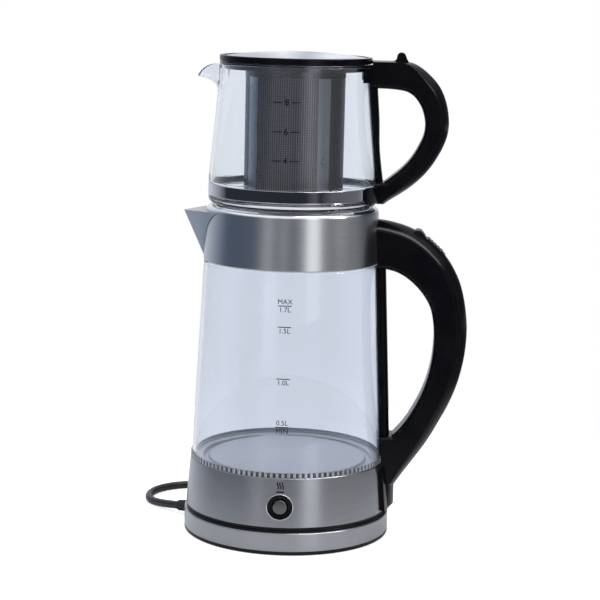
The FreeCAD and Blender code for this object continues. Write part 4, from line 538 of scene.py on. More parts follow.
@dataclass(frozen=True)
class ClearGlass(Finish):
    """Clear borosilicate glass with a faint cool tint that deepens at its edges."""

    tint: Colour
    edge: float = 0.65

    def inputs(self, nodes: Nodes) -> dict[str, object]:
        """What goes into the shader's inputs."""
        cloud = nodes.effect(mottle(), Scale=25.0, Fine=300.0)["Cloud"]
        facing = nodes.add("ShaderNodeLayerWeight", Blend=0.5)["Facing"]
        shares = ((0.1, 1.0), (0.3, 1.07), (0.62, 1.12), (0.85, 1.0), (0.98, self.edge))
        stops = [(spot, tuple(min(1.0, share * channel) for channel in self.tint)) for spot, share in shares]
        return {
            "Base_Color": nodes.ramp(facing, stops),
            "Roughness": 0.0,
            "IOR": 1.47,
            "Transmission_Weight": 1.0,
            "Normal": nodes.bump(0.006, 0.001, cloud),
        }


@dataclass(frozen=True)
class Perforated(Finish):
    """Opaque steel sheet painted dark, with a grid of tiny holes round the axis that are painted with the shade
    inside the basket.
    """

    pitch: float = 1.7
    radius: float = 37.0
    fill: float = 0.56
    thread: Colour = (0.2, 0.205, 0.225)
    sheet: Colour = (0.12, 0.122, 0.135)
    # hole: painted shade of the basket's dark inside, standing where the holes would let one look through
    hole: Colour = (0.03, 0.03, 0.036)

    def inputs(self, nodes: Nodes) -> dict[str, object]:
        """What goes into the shader's inputs."""
        x, y, z = nodes.axes()
        count = round(TURN * self.radius / self.pitch)
        around = nodes.math("MULTIPLY", nodes.math("ARCTAN2", y, x), count / TURN)
        along = nodes.math("MULTIPLY", z, 1 / (self.pitch * MM))
        offsets = [
            nodes.math("ABSOLUTE", nodes.math("SUBTRACT", nodes.math("FRACT", value), 0.5))
            for value in (around, along)
        ]
        inside = nodes.math("LESS_THAN", nodes.math("MAXIMUM", *offsets), self.fill / 2)
        web = nodes.blend(nodes.math("GREATER_THAN", offsets[0], self.fill / 2), self.sheet, self.thread)
        speck = nodes.effect(mottle(), Scale=80.0, Fine=900.0)["Speck"]
        return {
            # the holes get the painted shade colour, the rest gets the web
            "Base_Color": nodes.blend(inside, web, self.hole),
            "Metallic": 1.0,
            "Roughness": nodes.spread(speck, 0.3, 0.45),
        }


@dataclass(frozen=True)
class FloorWhite(Finish):
    """White that glows for the eye and through glass, and fades from gloss far out."""

    reach: float = 0.42
    near: float = 0.14
    glow: float = 0.62
    through: float = 0.18

    def inputs(self, nodes: Nodes) -> dict[str, object]:
        """What goes into the shader's inputs."""
        path = nodes.add("ShaderNodeLightPath")
        seen = nodes.math("MULTIPLY", path["Is Camera Ray"], self.glow)
        through = nodes.math("MULTIPLY", path["Is Transmission Ray"], self.through)
        place = nodes.add("ShaderNodeTexCoord")["Object"]
        out = nodes.add("ShaderNodeVectorMath", {"operation": "LENGTH"}, Vector=place)["Value"]
        smooth = {"interpolation_type": "SMOOTHSTEP"}
        faint = nodes.add("ShaderNodeMapRange", smooth, Value=out, From_Min=self.near, From_Max=self.reach)[0]
        hidden = nodes.math("MULTIPLY", path["Is Glossy Ray"], faint)
        return {
            "Base_Color": grey(0.85),
            "Roughness": 0.8,
            "Specular_IOR_Level": 0.0,
            "Emission_Color": grey(1.0),
            "Emission_Strength": nodes.math("ADD", seen, through),
            "Alpha": nodes.math("SUBTRACT", 1.0, hidden),
        }


def grey(value: float) -> tuple[float, float, float, float]:
    """A neutral colour."""
    return (value, value, value, 1.0)


class Look(Enum):
    """Every finish of the tea maker."""

    # the rolled shoulder above 244.4 mm gets the paler polish colour, partly a painted highlight
    COLLAR_STEEL = BrushedSteel("collar_steel", lines=2600.0, polish_from=244.4)
    # painted shade: the shell's and the base ring's steel are darker copies of the collar's steel, standing in
    # for the darker reflections on them
    SKIRT_STEEL = BrushedSteel("skirt_steel_shaded", (0.34, 0.348, 0.372), (0.36, 0.368, 0.393))
    RING_STEEL = BrushedSteel("ring_steel_shaded", (0.37, 0.378, 0.402), (0.39, 0.398, 0.423))
    PLATE_STEEL = BrushedSteel(
        "plate_steel", (0.86, 0.855, 0.85), (0.93, 0.925, 0.92), (0.36, 0.48), 900.0, 0.035, 0.3
    )
    POLISHED = Bright("polished_steel")
    SATIN = Bright("satin_steel", (0.6, 0.61, 0.63), (0.2, 0.3))
    BRASS = Bright("contact_brass", (0.78, 0.6, 0.32), (0.18, 0.3))
    CAST = Bright("cast_aluminium", (0.62, 0.63, 0.65), (0.4, 0.55))
    CROWN = Bright("crown_steel", (0.62, 0.63, 0.7), (0.12, 0.24))
    CAP = Bright("cap_satin", (0.15, 0.153, 0.16), (0.25, 0.38))
    BAND_STEEL = Bright("band_steel", (0.8, 0.81, 0.83), (0.015, 0.03))
    FRAME_STEEL = Bright("frame_steel", (0.6, 0.61, 0.64), (0.26, 0.36))
    # painted shade: a near-black copy of the basket's steel, for the shade and the dark reflections under the
    # lid
    FLANGE_STEEL = Bright("flange_steel_shaded", (0.1, 0.1, 0.12), (0.1, 0.2))
    HANDLE = Moulded("handle_black", (0.003, 0.003, 0.0045), (0.16, 0.24), 0.008, level=0.12)
    BLACK = Moulded("base_black", (0.006, 0.006, 0.008), (0.28, 0.4), 0.04, level=0.2)
    RUBBER = Moulded("rubber_black", (0.02, 0.02, 0.021), (0.6, 0.75), 0.12, speck=1800.0)
    CORD = Moulded("cord_sheath", (0.01, 0.01, 0.012), (0.35, 0.48), 0.05)
    SILICONE = Moulded("silicone", (0.62, 0.64, 0.66), (0.4, 0.55), 0.04)
    LEAD = Moulded("lead_sheath", (0.2, 0.04, 0.03), (0.4, 0.5), 0.03)
    PRINT = Moulded("print_ink", (0.004, 0.004, 0.006), (0.5, 0.6), 0.0, level=0.1)
    GLASS = ClearGlass("kettle_glass_clear", (0.8, 0.83, 0.895))
    POT_GLASS = ClearGlass("pot_glass_clear", (0.855, 0.882, 0.93), 0.8)
    MESH = Perforated("infuser_mesh")
    TRIM = ToothedSteel("trim_steel")
    FLOOR = FloorWhite("floor_white")


# CAD nodes that stay as they are, by the finish that they get
DRESSED = {
    Look.BLACK: (
        "base_tray", "connector_post", "cord_clamp", "kettle_base_cover", "control_housing", "switch_housing",
        "coupler_socket",
    ),
    Look.SATIN: (
        "base_screws", "kettle_base_screws", "thermostat_discs", "handle_screws", "release_spring",
        "power_button_spring", "band_screw", "lid_hinge_pin",
    ),
    Look.BRASS: ("post_contacts", "coupler_contacts", "plug_pins", "plug_earth_clips"),
    Look.RUBBER: ("base_foot_ring",),
    Look.LEAD: ("base_leads", "kettle_leads"),
    # upper_glass_seal: pale silicone, which also paints the highlight line seen under the collar
    Look.SILICONE: ("lower_glass_seal", "upper_glass_seal"),
    Look.CAST: ("heat_spreader", "heating_element"),
}


# ---------------------------------------------------------------------- placing


def linked(name: str, data: bpy.types.ID) -> bpy.types.Object:
    """A new object in the scene."""
    item = bpy.data.objects.new(name, data)
    bpy.context.scene.collection.objects.link(item)
    return item


def frozen(item: bpy.types.Object) -> Mesh:
    """What the scene shows of an object, as a mesh of its own."""
    graph = bpy.context.evaluated_depsgraph_get()
    graph.update()
    mesh = bpy.data.meshes.new_from_object(item.evaluated_get(graph))
    work = bmesh.new()
    work.from_mesh(mesh)
    bpy.data.meshes.remove(mesh)
    return work


def place(
    name: str, work: Mesh, look: Look, body: Body, slot: str, node: str = "", sharp: float = 32.0
) -> bpy.types.Object:
    """Make a piece of a mesh and let it ride.

    Args:
        name: the piece's name.
        work: its mesh, which is freed.
        look: its finish.
        body: the body that it rides on.
        slot: the record's material slot; it is not used.
        node: the CAD node that it stands for.
        sharp: the angle in degrees past which an edge is crisp.

    Returns:
        The new object.
    """
    mesh = bpy.data.meshes.new(name)
    work.to_mesh(mesh)
    work.free()
    mesh.polygons.foreach_set("use_smooth", [True] * len(mesh.polygons))
    mesh.set_sharp_from_angle(angle=math.radians(sharp))
    mesh.materials.append(look.value.build())
    piece = linked(name, mesh)
    piece.modifiers.new("even_shading", "WEIGHTED_NORMAL").keep_sharp = True
    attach(piece, body.value)
    if node:
        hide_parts(node)
    LOG.info("%s: %d faces", name, len(mesh.polygons))
    return piece


def carved(
    target: Mesh, cut: Iterable[Mesh] = (), join: Iterable[Mesh] = (), within: Iterable[Mesh] = ()
) -> Mesh:
    """Join and cut closed meshes, which are freed.

    Args:
        target: the mesh to work on.
        cut: what is taken from it at last.
        join: what is added to it first.
        within: what bounds it.

    Returns:
        A new closed mesh.
    """

    def loose(work: Mesh) -> bpy.types.Object:
        mesh = bpy.data.meshes.new("carving")
        work.to_mesh(mesh)
        work.free()
        return linked("carving", mesh)

    items = [loose(target)]
    for operation, tools in (("UNION", join), ("INTERSECT", within), ("DIFFERENCE", cut)):
        for tool in tools:
            items.append(loose(tool))
            step = items[0].modifiers.new("carve", "BOOLEAN")
            step.operation, step.object, step.solver = operation, items[-1], "EXACT"
    work = frozen(items[0])
    for item in items:
        shape = item.data
        bpy.data.objects.remove(item)
        bpy.data.meshes.remove(shape)
    bmesh.ops.remove_doubles(work, verts=work.verts[:], dist=2e-6)
    bmesh.ops.dissolve_degenerate(work, edges=work.edges[:], dist=1e-6)
    open_edges = sum(not edge.is_manifold for edge in work.edges)
    if open_edges:
        LOG.warning("carved mesh has %d open edges", open_edges)
    return work


def wrapped(
    work: Mesh, azimuth: float, height: float, profile: Callable[[float], float], lift: float = 0.08
) -> Mesh:
    """Lay a flat drawing on a turned surface.

    Args:
        work: the drawing in the XY plane in mm, thick along Z.
        azimuth: where its middle goes, in degrees from +X.
        height: the height of its origin in mm.
        profile: the surface's radius at a height, in mm.
        lift: how far in mm the drawing's plane stands off it.

    Returns:
        The same mesh, in metres.
    """
    for vert in work.verts:
        level = height + vert.co.y
        radius = profile(level)
        turn = math.radians(azimuth) + vert.co.x / radius
        reach = radius + lift + vert.co.z
        vert.co = Vector((reach * math.cos(turn), reach * math.sin(turn), level)) * MM
    return faced(work)


def lettering(text: str, high: float, weight: float = 0.0) -> Mesh:
    """Plain printed letters in mm, centred on the origin of the XY plane.

    Args:
        text: what it says.
        high: the height of a capital in mm.
        weight: how far the strokes are made fatter, in mm.

    Returns:
        A mesh in mm.
    """
    curve = bpy.data.curves.new("letters", "FONT")
    curve.body = text
    curve.size = high / 0.69
    curve.align_x = curve.align_y = "CENTER"
    curve.extrude = INK / 2
    curve.offset = weight
    curve.resolution_u = 4
    item = linked("letters", curve)
    work = frozen(item)
    bmesh.ops.remove_doubles(work, verts=work.verts[:], dist=1e-4)
    bpy.data.objects.remove(item)
    bpy.data.curves.remove(curve)
    return work


def box_mesh(size: Sequence[float], spot: Sequence[float]) -> Mesh:
    """A box of a size about a spot."""
    work = bmesh.new()
    bmesh.ops.create_cube(work, size=1.0)
    bmesh.ops.scale(work, vec=size, verts=work.verts[:])
    bmesh.ops.translate(work, vec=spot, verts=work.verts[:])
    return work


def dash(wide: float, high: float, across: float = 0.0) -> Mesh:
    """A printed dash in the XY plane in mm, cut into short runs so that it can bend."""
    work = box_mesh((wide, high, INK), (across, 0, 0))
    runs = [e for e in work.edges if abs(e.verts[0].co.x - e.verts[1].co.x) > wide / 2]
    bmesh.ops.subdivide_edges(work, edges=runs, cuts=max(1, round(wide / 1.2)), use_grid_fill=True)
    return work


# ----------------------------------------------------------------- power base


@dataclass(frozen=True)
class PowerBase:
    """The round base that stays on the worktop, with its skirt and its deck."""

    radius: float = 77.3
    rim_top: float = 3.1
    ring_top: float = 16.8
    wall: float = 0.8
    lip: float = 2.1
    deck_radius: float = 75.1
    deck_top: float = 18.2
    deck_low: float = 14.9
    deck_wall: float = 2.2
    post_bore: float = 17.3
    moat: Pair = (27.0, 31.0)
    moat_deep: float = 0.6

    def skirt(self) -> Mesh:
        """The steel ring round the base."""
        low, top, under = self.rim_top + 0.1, self.ring_top, self.ring_top - self.wall
        outer, inner, lip = self.radius, self.radius - self.wall, self.radius - self.lip
        return turned(
            (
                (inner, low), (outer, low, 0.25), (outer, top, 0.9), (lip, top, 0.15), (lip, under),
                (inner, under),
            )
        )

    def deck(self) -> Mesh:
        """The black top that the kettle stands on, with a shallow drip channel."""
        outer, bore, top, edge = self.deck_radius, self.post_bore, self.deck_top, self.deck_low
        under, floor = top - self.deck_wall, top - self.moat_deep
        inside, outside = self.moat
        corners = (
            (bore, under), (outer - 2, under), (outer - 2, edge), (outer, edge, 0.2), (outer, top, 0.6),
            (outside + 0.8, top, 0.3), (outside, floor, 0.2), (inside, floor, 0.2), (inside - 0.8, top, 0.3),
            (bore, top, 0.2),
        )
        return turned(corners, 200)

    def build(self) -> None:
        """Place the pieces."""
        place("base_skirt", self.skirt(), Look.RING_STEEL, Body.BASE, "brushed_steel", "base_steel_ring")
        place("base_top", self.deck(), Look.BLACK, Body.BASE, "black_plastic", "base_deck")


@dataclass(frozen=True)
class MainsCord:
    """The mains lead: its relief, its free run, a tied coil of three turns and the plug."""

    diameter: float = 6.0
    route: tuple[Colour, ...] = (
        (-85.1, 24.3, 6.5), (-107.5, 40.0, 3.0), (-115.5, 63.0, 3.0), (-108.5, 85.5, 3.0), (-89.0, 99.5, 3.0),
        (-63.0, 101.5, 3.0), (-47.0, 101.5, 3.0),
    )
    coil_x: float = -26.0
    lane_y: float = 101.5
    coil_radius: float = 31.0
    control_radius: float = 32.0
    turns: int = 3
    per_turn: int = 12
    tail: Colour = (6.5, 101.5, 15.0)
    length: float = 0.777
    relief_long: float = 24.0
    relief_root: float = 4.4
    tie_half: float = 2.4
    plug_x: float = 46.0
    plug_radius: float = 19.5
    plug_high: float = 27.0
    neck_long: float = 24.0
    neck_root: float = 6.5

    @property
    def rise(self) -> float:
        """How far the last turn of the coil lies above the first."""
        return self.diameter * 1.015 * (self.turns - 1)

    def coil_points(self) -> list[Colour]:
        """The control points of the turns, which climb where each turn crosses to the next."""
        centre_y, radius = self.lane_y + self.coil_radius, self.control_radius
        spots = []
        for step in range(1, self.turns * self.per_turn):
            share = step / self.per_turn
            turn = math.floor(share)
            climb = 0.0 if turn == self.turns - 1 else min(max((share - turn - 0.6) / 0.3, 0.0), 1.0)
            height = 3.0 + self.diameter * 1.015 * (turn + climb)
            angle = math.radians(-90 + 360 * share)
            spots.append((self.coil_x + radius * math.cos(angle), centre_y + radius * math.sin(angle), height))
        return spots

    def line(self) -> bpy.types.Curve:
        """The cord's own smooth line."""
        lane, level = self.lane_y, self.tail[2]
        spots = [
            *self.route, (-32.0, lane - 0.6, 3.0), *self.coil_points(), (-20.0, lane - 0.6, 3.0 + self.rise),
            (-8.0, lane, level), self.tail,
        ]
        curve = bpy.data.curves.new("mains_cord", "CURVE")
        curve.dimensions = "3D"
        spline = curve.splines.new("NURBS")
        spline.points.add(len(spots) - 1)
        for point, spot in zip(spline.points, spots):
            point.co = (*(MM * value for value in spot), 1.0)
        spline.order_u = 3
        spline.use_endpoint_u = True
        curve.resolution_u = curve.bevel_resolution = 8
        curve.bevel_depth = self.diameter / 2 * MM
        curve.use_fill_caps = True
        return curve

    def relief(self) -> Mesh:
        """The tapered strain relief with its ribs."""
        tip = Vector(self.route[0])
        way = (Vector(self.route[1]) - tip).normalized()
        root = tip - way * self.relief_long
        girths = (self.relief_root, self.diameter / 2 + 0.6)
        shares = [(rib + 0.6) / 7 for rib in range(7)]
        cone = rod_mesh(root, tip + way * 0.6, *girths, 40, 0.25)
        return merged([cone, *ribs(root, tip, girths, shares, 0.55, 0.8, 0.45)])

    def tie(self, angle: float) -> Mesh:
        """A tie round the coil's bundle at an angle in degrees."""
        half, wide = self.diameter / 2 + 0.75, self.tie_half
        inner, outer = self.coil_radius - half, self.coil_radius + half
        low, high = 0.35, self.rise + self.diameter + 0.7
        work = bmesh.new()
        corners = ((inner, low), (outer, low), (outer, high), (inner, high))
        extruded(work, [work.verts.new((x * MM, -wide * MM, z * MM)) for x, z in corners], (0, 2 * wide, 0))
        rounded(work, [e for e in work.edges if abs(e.verts[0].co.y - e.verts[1].co.y) > 2 * MM], 2.4, 6)
        caps = [f for f in work.faces if abs(f.normal.y) > 0.9]
        bmesh.ops.inset_region(work, faces=caps, thickness=0.7 * MM, use_even_offset=True)
        caps = [f for f in work.faces if abs(f.normal.y) > 0.9 and len(f.verts) > 8]
        rims = [edge for face in caps for edge in face.edges]
        bmesh.ops.delete(work, geom=caps, context="FACES_ONLY")
        bmesh.ops.bridge_loops(work, edges=rims)
        turn = Matrix.Translation((self.coil_x * MM, (self.lane_y + self.coil_radius) * MM, 0))
        turn = turn @ Matrix.Rotation(math.radians(angle), 4, "Z")
        bmesh.ops.transform(faced(work), matrix=turn, verts=work.verts[:])
        return work

    def plug(self) -> Mesh:
        """The moulded plug's body on its back, with a waist and a ribbed neck."""
        high, radius = self.plug_high, self.plug_radius
        corners = (
            (0.0, 0.0), (radius - 1.0, 0.0, 1.6), (radius, 9.0, 2.0), (radius - 1.2, 12.0, 1.5),
            (radius, 15.0, 2.0), (radius, high, 1.4), (radius - 2.2, high, 0.3),
            (radius - 2.8, high - 0.6, 0.2), (0.0, high - 0.6),
        )
        body = turned(corners, 96)
        bmesh.ops.translate(body, vec=(self.plug_x * MM, self.lane_y * MM, 0), verts=body.verts[:])
        start = Vector(self.tail)
        end = start + Vector((self.neck_long, 0, 0))
        girths = (self.diameter / 2 + 0.8, self.neck_root)
        neck = rod_mesh(start, end, *girths, 40, 0.3)
        rings = ribs(start, end, girths, [(rib + 0.7) / 6 for rib in range(4)], 0.6, 0.9, 0.4)
        slots = [
            box_mesh(
                (4.0 * MM, 6.0 * MM, 30.0 * MM),
                ((self.plug_x + side * (radius + 0.6)) * MM, self.lane_y * MM, (high + 0.1) * MM),
            )
            for side in (-1, 1)
        ]
        return carved(body, slots, [neck, *rings])

    def build(self) -> None:
        """Place the cord, its relief, its tie and its plug."""
        cord = linked("mains_cord", self.line())
        cord.data.materials.append(Look.CORD.value.build())
        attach(cord, Body.BASE.value)
        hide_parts("power_cord", "power_cord_coil", "power_cord_tail")
        place("cord_relief", self.relief(), Look.RUBBER, Body.BASE, "rubber", "cord_gland")
        tie = place("cord_tie", self.tie(60.0), Look.RUBBER, Body.BASE, "rubber")
        plug = place("mains_plug", self.plug(), Look.BLACK, Body.BASE, "black_plastic", "plug_body")


# --------------------------------------------------------------------- kettle


@dataclass(frozen=True)
class KettleBody:
    """The kettle's shell, trim ring, heating plate and glass."""

    shell_low: float = 20.8
    shell_top: float = 56.8
    shell_low_radius: float = 76.1
    shell_top_radius: float = 73.2
    shell_lip: float = 7.2
    wall: float = 0.8
    trim_low: float = 56.9
    trim_top: float = 60.5
    trim_radius: float = 73.0
    tooth_deep: float = 0.7
    teeth: int = 108
    glass_low: float = 58.6
    glass_top: float = 205.0
    glass_low_radius: float = 72.4
    glass_top_radius: float = 65.4
    glass_wall: float = 2.5
    neck_radius: float = 63.6
    neck_top: float = 213.5
    plate_radius: float = 59.2
    plate_top: float = 57.0
    groove_wide: float = 3.2
    groove_deep: float = 2.4
    switch_high: float = 36.0
    switch_hole: float = 9.3

    def glass_radius(self, height: float) -> float:
        """The glass's outer radius at a height."""
        ends = ((self.glass_low, self.glass_low_radius), (self.glass_top, self.glass_top_radius))
        return on_polyline(ends, height)

    def shell_radius(self, height: float) -> float:
        """The shell's outer radius at a height."""
        ends = ((self.shell_low, self.shell_low_radius), (self.shell_top, self.shell_top_radius))
        return on_polyline(ends, height)

    def shell(self) -> Mesh:
        """The steel shell, with the hole for the switch."""
        low, top, wall = self.shell_low, self.shell_top, self.wall
        foot, brim, lip = self.shell_low_radius, self.shell_top_radius, self.shell_top_radius - self.shell_lip
        corners = (
            (foot - wall, low), (foot, low, 0.3), (brim, top, 0.8), (lip, top, 0.1), (lip, top - wall),
            (brim - wall, top - wall),
        )
        hole = rod_mesh((0, -90, self.switch_high), (0, -60, self.switch_high), self.switch_hole, sides=72)
        return carved(turned(corners), [hole])

    def trim(self) -> Mesh:
        """The toothed ring, one tooth repeated round the axis."""
        crest, pitch = self.trim_radius, TURN / self.teeth
        root, seat = crest - self.tooth_deep, self.glass_low_radius - 0.35
        corners = (
            (0.0, root), (0.16, crest - 0.08), (0.24, crest), (0.5, crest), (0.58, crest - 0.08), (0.74, root),
            (1.0, root), (1.0, seat), (0.0, seat),
        )
        work = bmesh.new()
        wire = [
            work.verts.new((r * MM * math.cos(s * pitch), r * MM * math.sin(s * pitch), self.trim_low * MM))
            for s, r in corners
        ]
        extruded(work, wire, (0, 0, self.trim_top - self.trim_low))
        sides = [f for f in work.faces if len({round(math.atan2(v.co.y, v.co.x), 7) for v in f.verts}) == 1]
        bmesh.ops.delete(work, geom=sides, context="FACES_ONLY")
        bmesh.ops.spin(
            work, geom=work.verts[:] + work.edges[:] + work.faces[:], cent=(0, 0, 0), axis=(0, 0, 1),
            angle=TURN * (self.teeth - 1) / self.teeth, steps=self.teeth - 1, use_duplicate=True,
        )
        bmesh.ops.remove_doubles(work, verts=work.verts[:], dist=5e-6)
        return faced(work)

    def plate(self) -> Mesh:
        """The heating plate with its rolled groove."""
        sheet, top, ledge = self.wall, self.plate_top, self.shell_top + 0.1
        rim = self.shell_top_radius - self.shell_lip + 3
        disc, groove = self.plate_radius, self.plate_radius + self.groove_wide
        floor = top - self.groove_deep
        corners = (
            (0.0, top - sheet), (disc - sheet, top - sheet, 0.4), (disc - sheet, floor - sheet, 0.6),
            (groove + sheet, floor - sheet, 0.6), (groove + sheet + 1, ledge, 0.3), (rim, ledge),
            (rim, ledge + sheet, 0.3), (groove + 1, ledge + sheet, 0.9), (groove, floor, 0.9),
            (disc, floor, 0.9), (disc, top, 1.1), (24.0, top, 0.5), (23.2, top - 0.35, 0.3), (0.0, top - 0.35),
        )
        return turned(corners, 200)

    def glass(self) -> Mesh:
        """The glass cone with its neck."""
        wall, low, top, lip = self.glass_wall, self.glass_low, self.glass_top, self.neck_top
        foot, brim, neck = self.glass_low_radius, self.glass_top_radius, self.neck_radius
        return turned(
            (
                (foot - wall, low, 0.7), (foot, low, 0.7), (brim, top, 0.8), (neck, top + 1.2, 0.5),
                (neck, lip, 0.8), (neck - wall, lip, 0.8), (neck - wall, top + 1.2, 0.5),
                (brim - wall, top - 1, 0.8),
            )
        )

    def marks(self) -> Mesh:
        """The water levels printed on the glass."""
        parts = []
        for height, above, below in (
            (182.0, "MAX", "1.7L"), (166.7, "", "1.5L"), (129.2, "", "1.0L"), (94.1, "0.5L", "MIN")
        ):
            parts.append(wrapped(dash(9.7, 0.6), -90, height, self.glass_radius))
            for text, shift in ((above, 2.9), (below, -2.9)):
                if text:
                    parts.append(wrapped(lettering(text, 3.45), -90, height + shift, self.glass_radius))
        return merged(parts)

    def sign(self) -> Mesh:
        """The sign for heat above the switch: three wavy lines over a bar."""
        low, high = 47.0, 5.2
        parts = [wrapped(dash(5.5, 1.0), -90, low, self.shell_radius, INK)]
        for across in (-1.8, 0.0, 1.8):
            wave = dash(high, 0.95)
            for vert in wave.verts:
                along = vert.co.x
                vert.co.x = across + vert.co.y - 0.55 * math.sin(along * TURN / high)
                vert.co.y = along + 4.5
            parts.append(wrapped(wave, -90, low, self.shell_radius, INK))
        return merged(parts)

    def build(self) -> None:
        """Place the pieces."""
        kettle = Body.KETTLE
        place("shell_skirt", self.shell(), Look.SKIRT_STEEL, kettle, "brushed_steel", "lower_shell")
        place("toothed_trim", self.trim(), Look.TRIM, kettle, "polished_steel", "trim_ring", 20)
        place("plate_top", self.plate(), Look.PLATE_STEEL, kettle, "satin_steel", "heating_plate")
        place("kettle_wall", self.glass(), Look.GLASS, kettle, "clear_glass", "kettle_glass")
        place("level_marks", self.marks(), Look.PRINT, kettle, "black_plastic")
        place("heat_sign", self.sign(), Look.PRINT, kettle, "black_plastic")


@dataclass(frozen=True)
class KettleCollar:
    """The steel collar with its rolled mouth, its folded spout and the teapot's seat."""

    low: float = 206.9
    low_radius: float = 65.8
    top: float = 243.6
    top_radius: float = 63.9
    roll_top: float = 247.7
    mouth: float = 57.8
    wall: float = 0.8
    seat_low: float = 240.2
    seat_inner: float = 50.0
    seat_top: float = 243.1
    spout_tip: float = 82.0
    spout_dip: float = 2.4
    spout_low: float = 205.5
    spout_half: float = 37.6
    spout_root: float = 51.8

    def roll(self, inset: float, count: int = 10) -> list[Pair]:
        """Corners of the rolled shoulder, from the outside to the mouth."""
        start = Vector((self.top_radius - inset, self.top))
        end = Vector((self.mouth, self.roll_top - inset))
        turns = [math.pi / 2 * step / count for step in range(count + 1)]
        return [
            (end.x + (start.x - end.x) * math.cos(turn), start.y + (end.y - start.y) * math.sin(turn))
            for turn in turns
        ]

    def wedge(self, inset: float, rise: float = 0.0, fold: float = 2.2) -> Mesh:
        """The closed wedge of the spout.

        Args:
            inset: how far its faces lie inside the outer ones, in mm.
            rise: how far it is lifted, in mm.
            fold: the rounding of the fold at the front, in mm.

        Returns:
            A closed mesh.
        """
        work = bmesh.new()
        top, root, half = self.top + rise, -self.spout_root, self.spout_half - inset
        spots = (
            (-self.spout_tip + inset * 2.2, 0, self.top - self.spout_dip + rise),
            (-self.low_radius + 1.2 * inset, 0, self.spout_low + inset * 4 + rise),
            (root, half, top), (root, -half, top), (root + 14, 0, top),
        )
        tip, low, left, right, back = (work.verts.new(Vector(spot) * MM) for spot in spots)
        for corners in (
            (tip, left, back, right), (tip, low, left), (tip, right, low), (left, low, back),
            (right, back, low),
        ):
            work.faces.new(corners)
        rounded(faced(work), [work.edges.get((tip, low))], fold, 6, clamp=True)
        return work

    def core(self, out: float) -> Mesh:
        """What lies inside the collar's wall, moved outwards by a distance in mm."""
        foot, brim = self.low_radius + out, self.top_radius + out
        return turned(
            (
                (0.0, self.low - 20), (self.low_radius + 1.0 + out, self.low - 20), (foot, self.low),
                (brim, self.top), (brim, self.top + 10), (0.0, self.top + 10),
            )
        )

    def collar(self) -> Mesh:
        """The collar with the window that pours into the spout and the spout's seam."""
        wall, seat, bore = self.wall, self.seat_inner, self.mouth - self.wall
        ledge = self.seat_low + wall
        corners = [
            (self.low_radius - wall, self.low), (self.low_radius, self.low, 0.25), *self.roll(0.0),
            (bore, self.roll_top, 0.3), (bore, ledge, 0.3), (seat, ledge, 0.3), (seat, self.seat_low, 0.3),
            (self.mouth, self.seat_low, 0.5), *reversed(self.roll(wall)),
        ]
        window = self.wedge(wall + 1.4, -2.5, 1.0)
        seam = carved(self.wedge(-0.5), [self.core(-0.45)])
        return carved(turned(corners), [window, seam])

    def spout(self) -> Mesh:
        """The folded sheet of the spout outside the collar."""
        return carved(self.wedge(0.0), [self.wedge(self.wall, 0.01, 1.6), self.core(0.05)])

    def seat(self) -> Mesh:
        """The silicone ring that the teapot stands on."""
        low, top = self.seat_low + self.wall + 0.1, self.seat_top
        inner, outer = self.seat_inner + 0.5, self.mouth - self.wall - 0.1
        return turned(((inner, low), (outer, low), (outer, top, 0.5), (inner, top, 0.5)), 160)

    def build(self) -> None:
        """Place the pieces."""
        kettle = Body.KETTLE
        place("mouth_collar", self.collar(), Look.COLLAR_STEEL, kettle, "brushed_steel", "kettle_collar")
        place("pour_spout", self.spout(), Look.COLLAR_STEEL, kettle, "brushed_steel", "kettle_spout", 25)
        place("pot_seat", self.seat(), Look.SILICONE, kettle, "silicone", "teapot_seat_ring")


# -------------------------------------------------------------------- handles

# how far the faces of a grip draw in, from its flank to its middle:
# (from the flank, the back's inset, the finger side's inset), in mm
GRIP_EASE = (
    (0.0, 7.9, 3.9), (0.1, 7.5, 3.25), (0.35, 7.0, 2.55), (0.9, 6.3, 1.7), (1.7, 5.5, 0.95), (2.6, 4.7, 0.45),
    (3.4, 4.05, 0.2), (4.4, 3.35, 0.05), (6.5, 2.1, 0.0), (9.0, 0.9, 0.0), (11.5, 0.12, 0.0),
)
# how much of the back's inset is left at the last points of a grip, near its foot
GRIP_FADE = (0.9, 0.8, 0.7, 0.6)
# the same at the first points of the pot's grip, beside the lid's lever
HINGE_FADE = (0.1, 0.1, 0.1, 0.16, 0.4, 0.7, 0.9)


def shifted(
    points: Sequence[Pair], distance: float, fade: Sequence[float] = (), rise: Sequence[float] = ()
) -> list[Pair]:
    """A path of (x, z) pairs moved to its right hand side.

    Args:
        points: the pairs in mm.
        distance: how far in mm.
        fade: the share of the distance that the last points are moved.
        rise: the same of the first points.

    Returns:
        The moved pairs.
    """
    shares = [*rise, *[1.0] * (len(points) - len(fade) - len(rise)), *fade]
    moved = []
    for (x, z), before, after, share in zip(points, points[:1] + points, points[1:] + points[-1:], shares):
        ahead = Vector((after[0] - before[0], after[1] - before[1])).normalized()
        moved.append((x + ahead.y * distance * share, z - ahead.x * distance * share))
    return moved


def grip_body(half: float, ring: Callable[[float, float], list[Iterable[Pair]]]) -> Mesh:
    """A grip skinned across its width.

    Args:
        half: half its width in mm.
        ring: gives its outline, in runs, for the insets of its back and its finger side.
    """
    near = [(step - half, outer, inner) for step, outer, inner in GRIP_EASE]
    far = [(-across, outer, inner) for across, outer, inner in reversed(near)]
    return lofted(
        [
            [Vector((x, across, z)) for run in ring(outer, inner) for x, z in run]
            for across, outer, inner in near + far
        ]
    )


def strip(half: float, eases: Sequence[Pair], front: Sequence[Pair], back: Sequence[Pair]) -> Mesh:
    """A strip up the glass.

    Args:
        half: half its width in mm.
        eases: pairs of the distance from its flank and how far its front draws in there.
        front: the path of its front.
        back: the path of its back.
    """
    near = [(step - half, ease) for step, ease in eases]
    stations = [*near, (0.0, 0.0), *((-across, ease) for across, ease in reversed(near))]
    return lofted(
        [
            [Vector((x - ease, across, z)) for x, z in front]
            + [Vector((x, across, z)) for x, z in reversed(back)]
            for across, ease in stations
        ]
    )


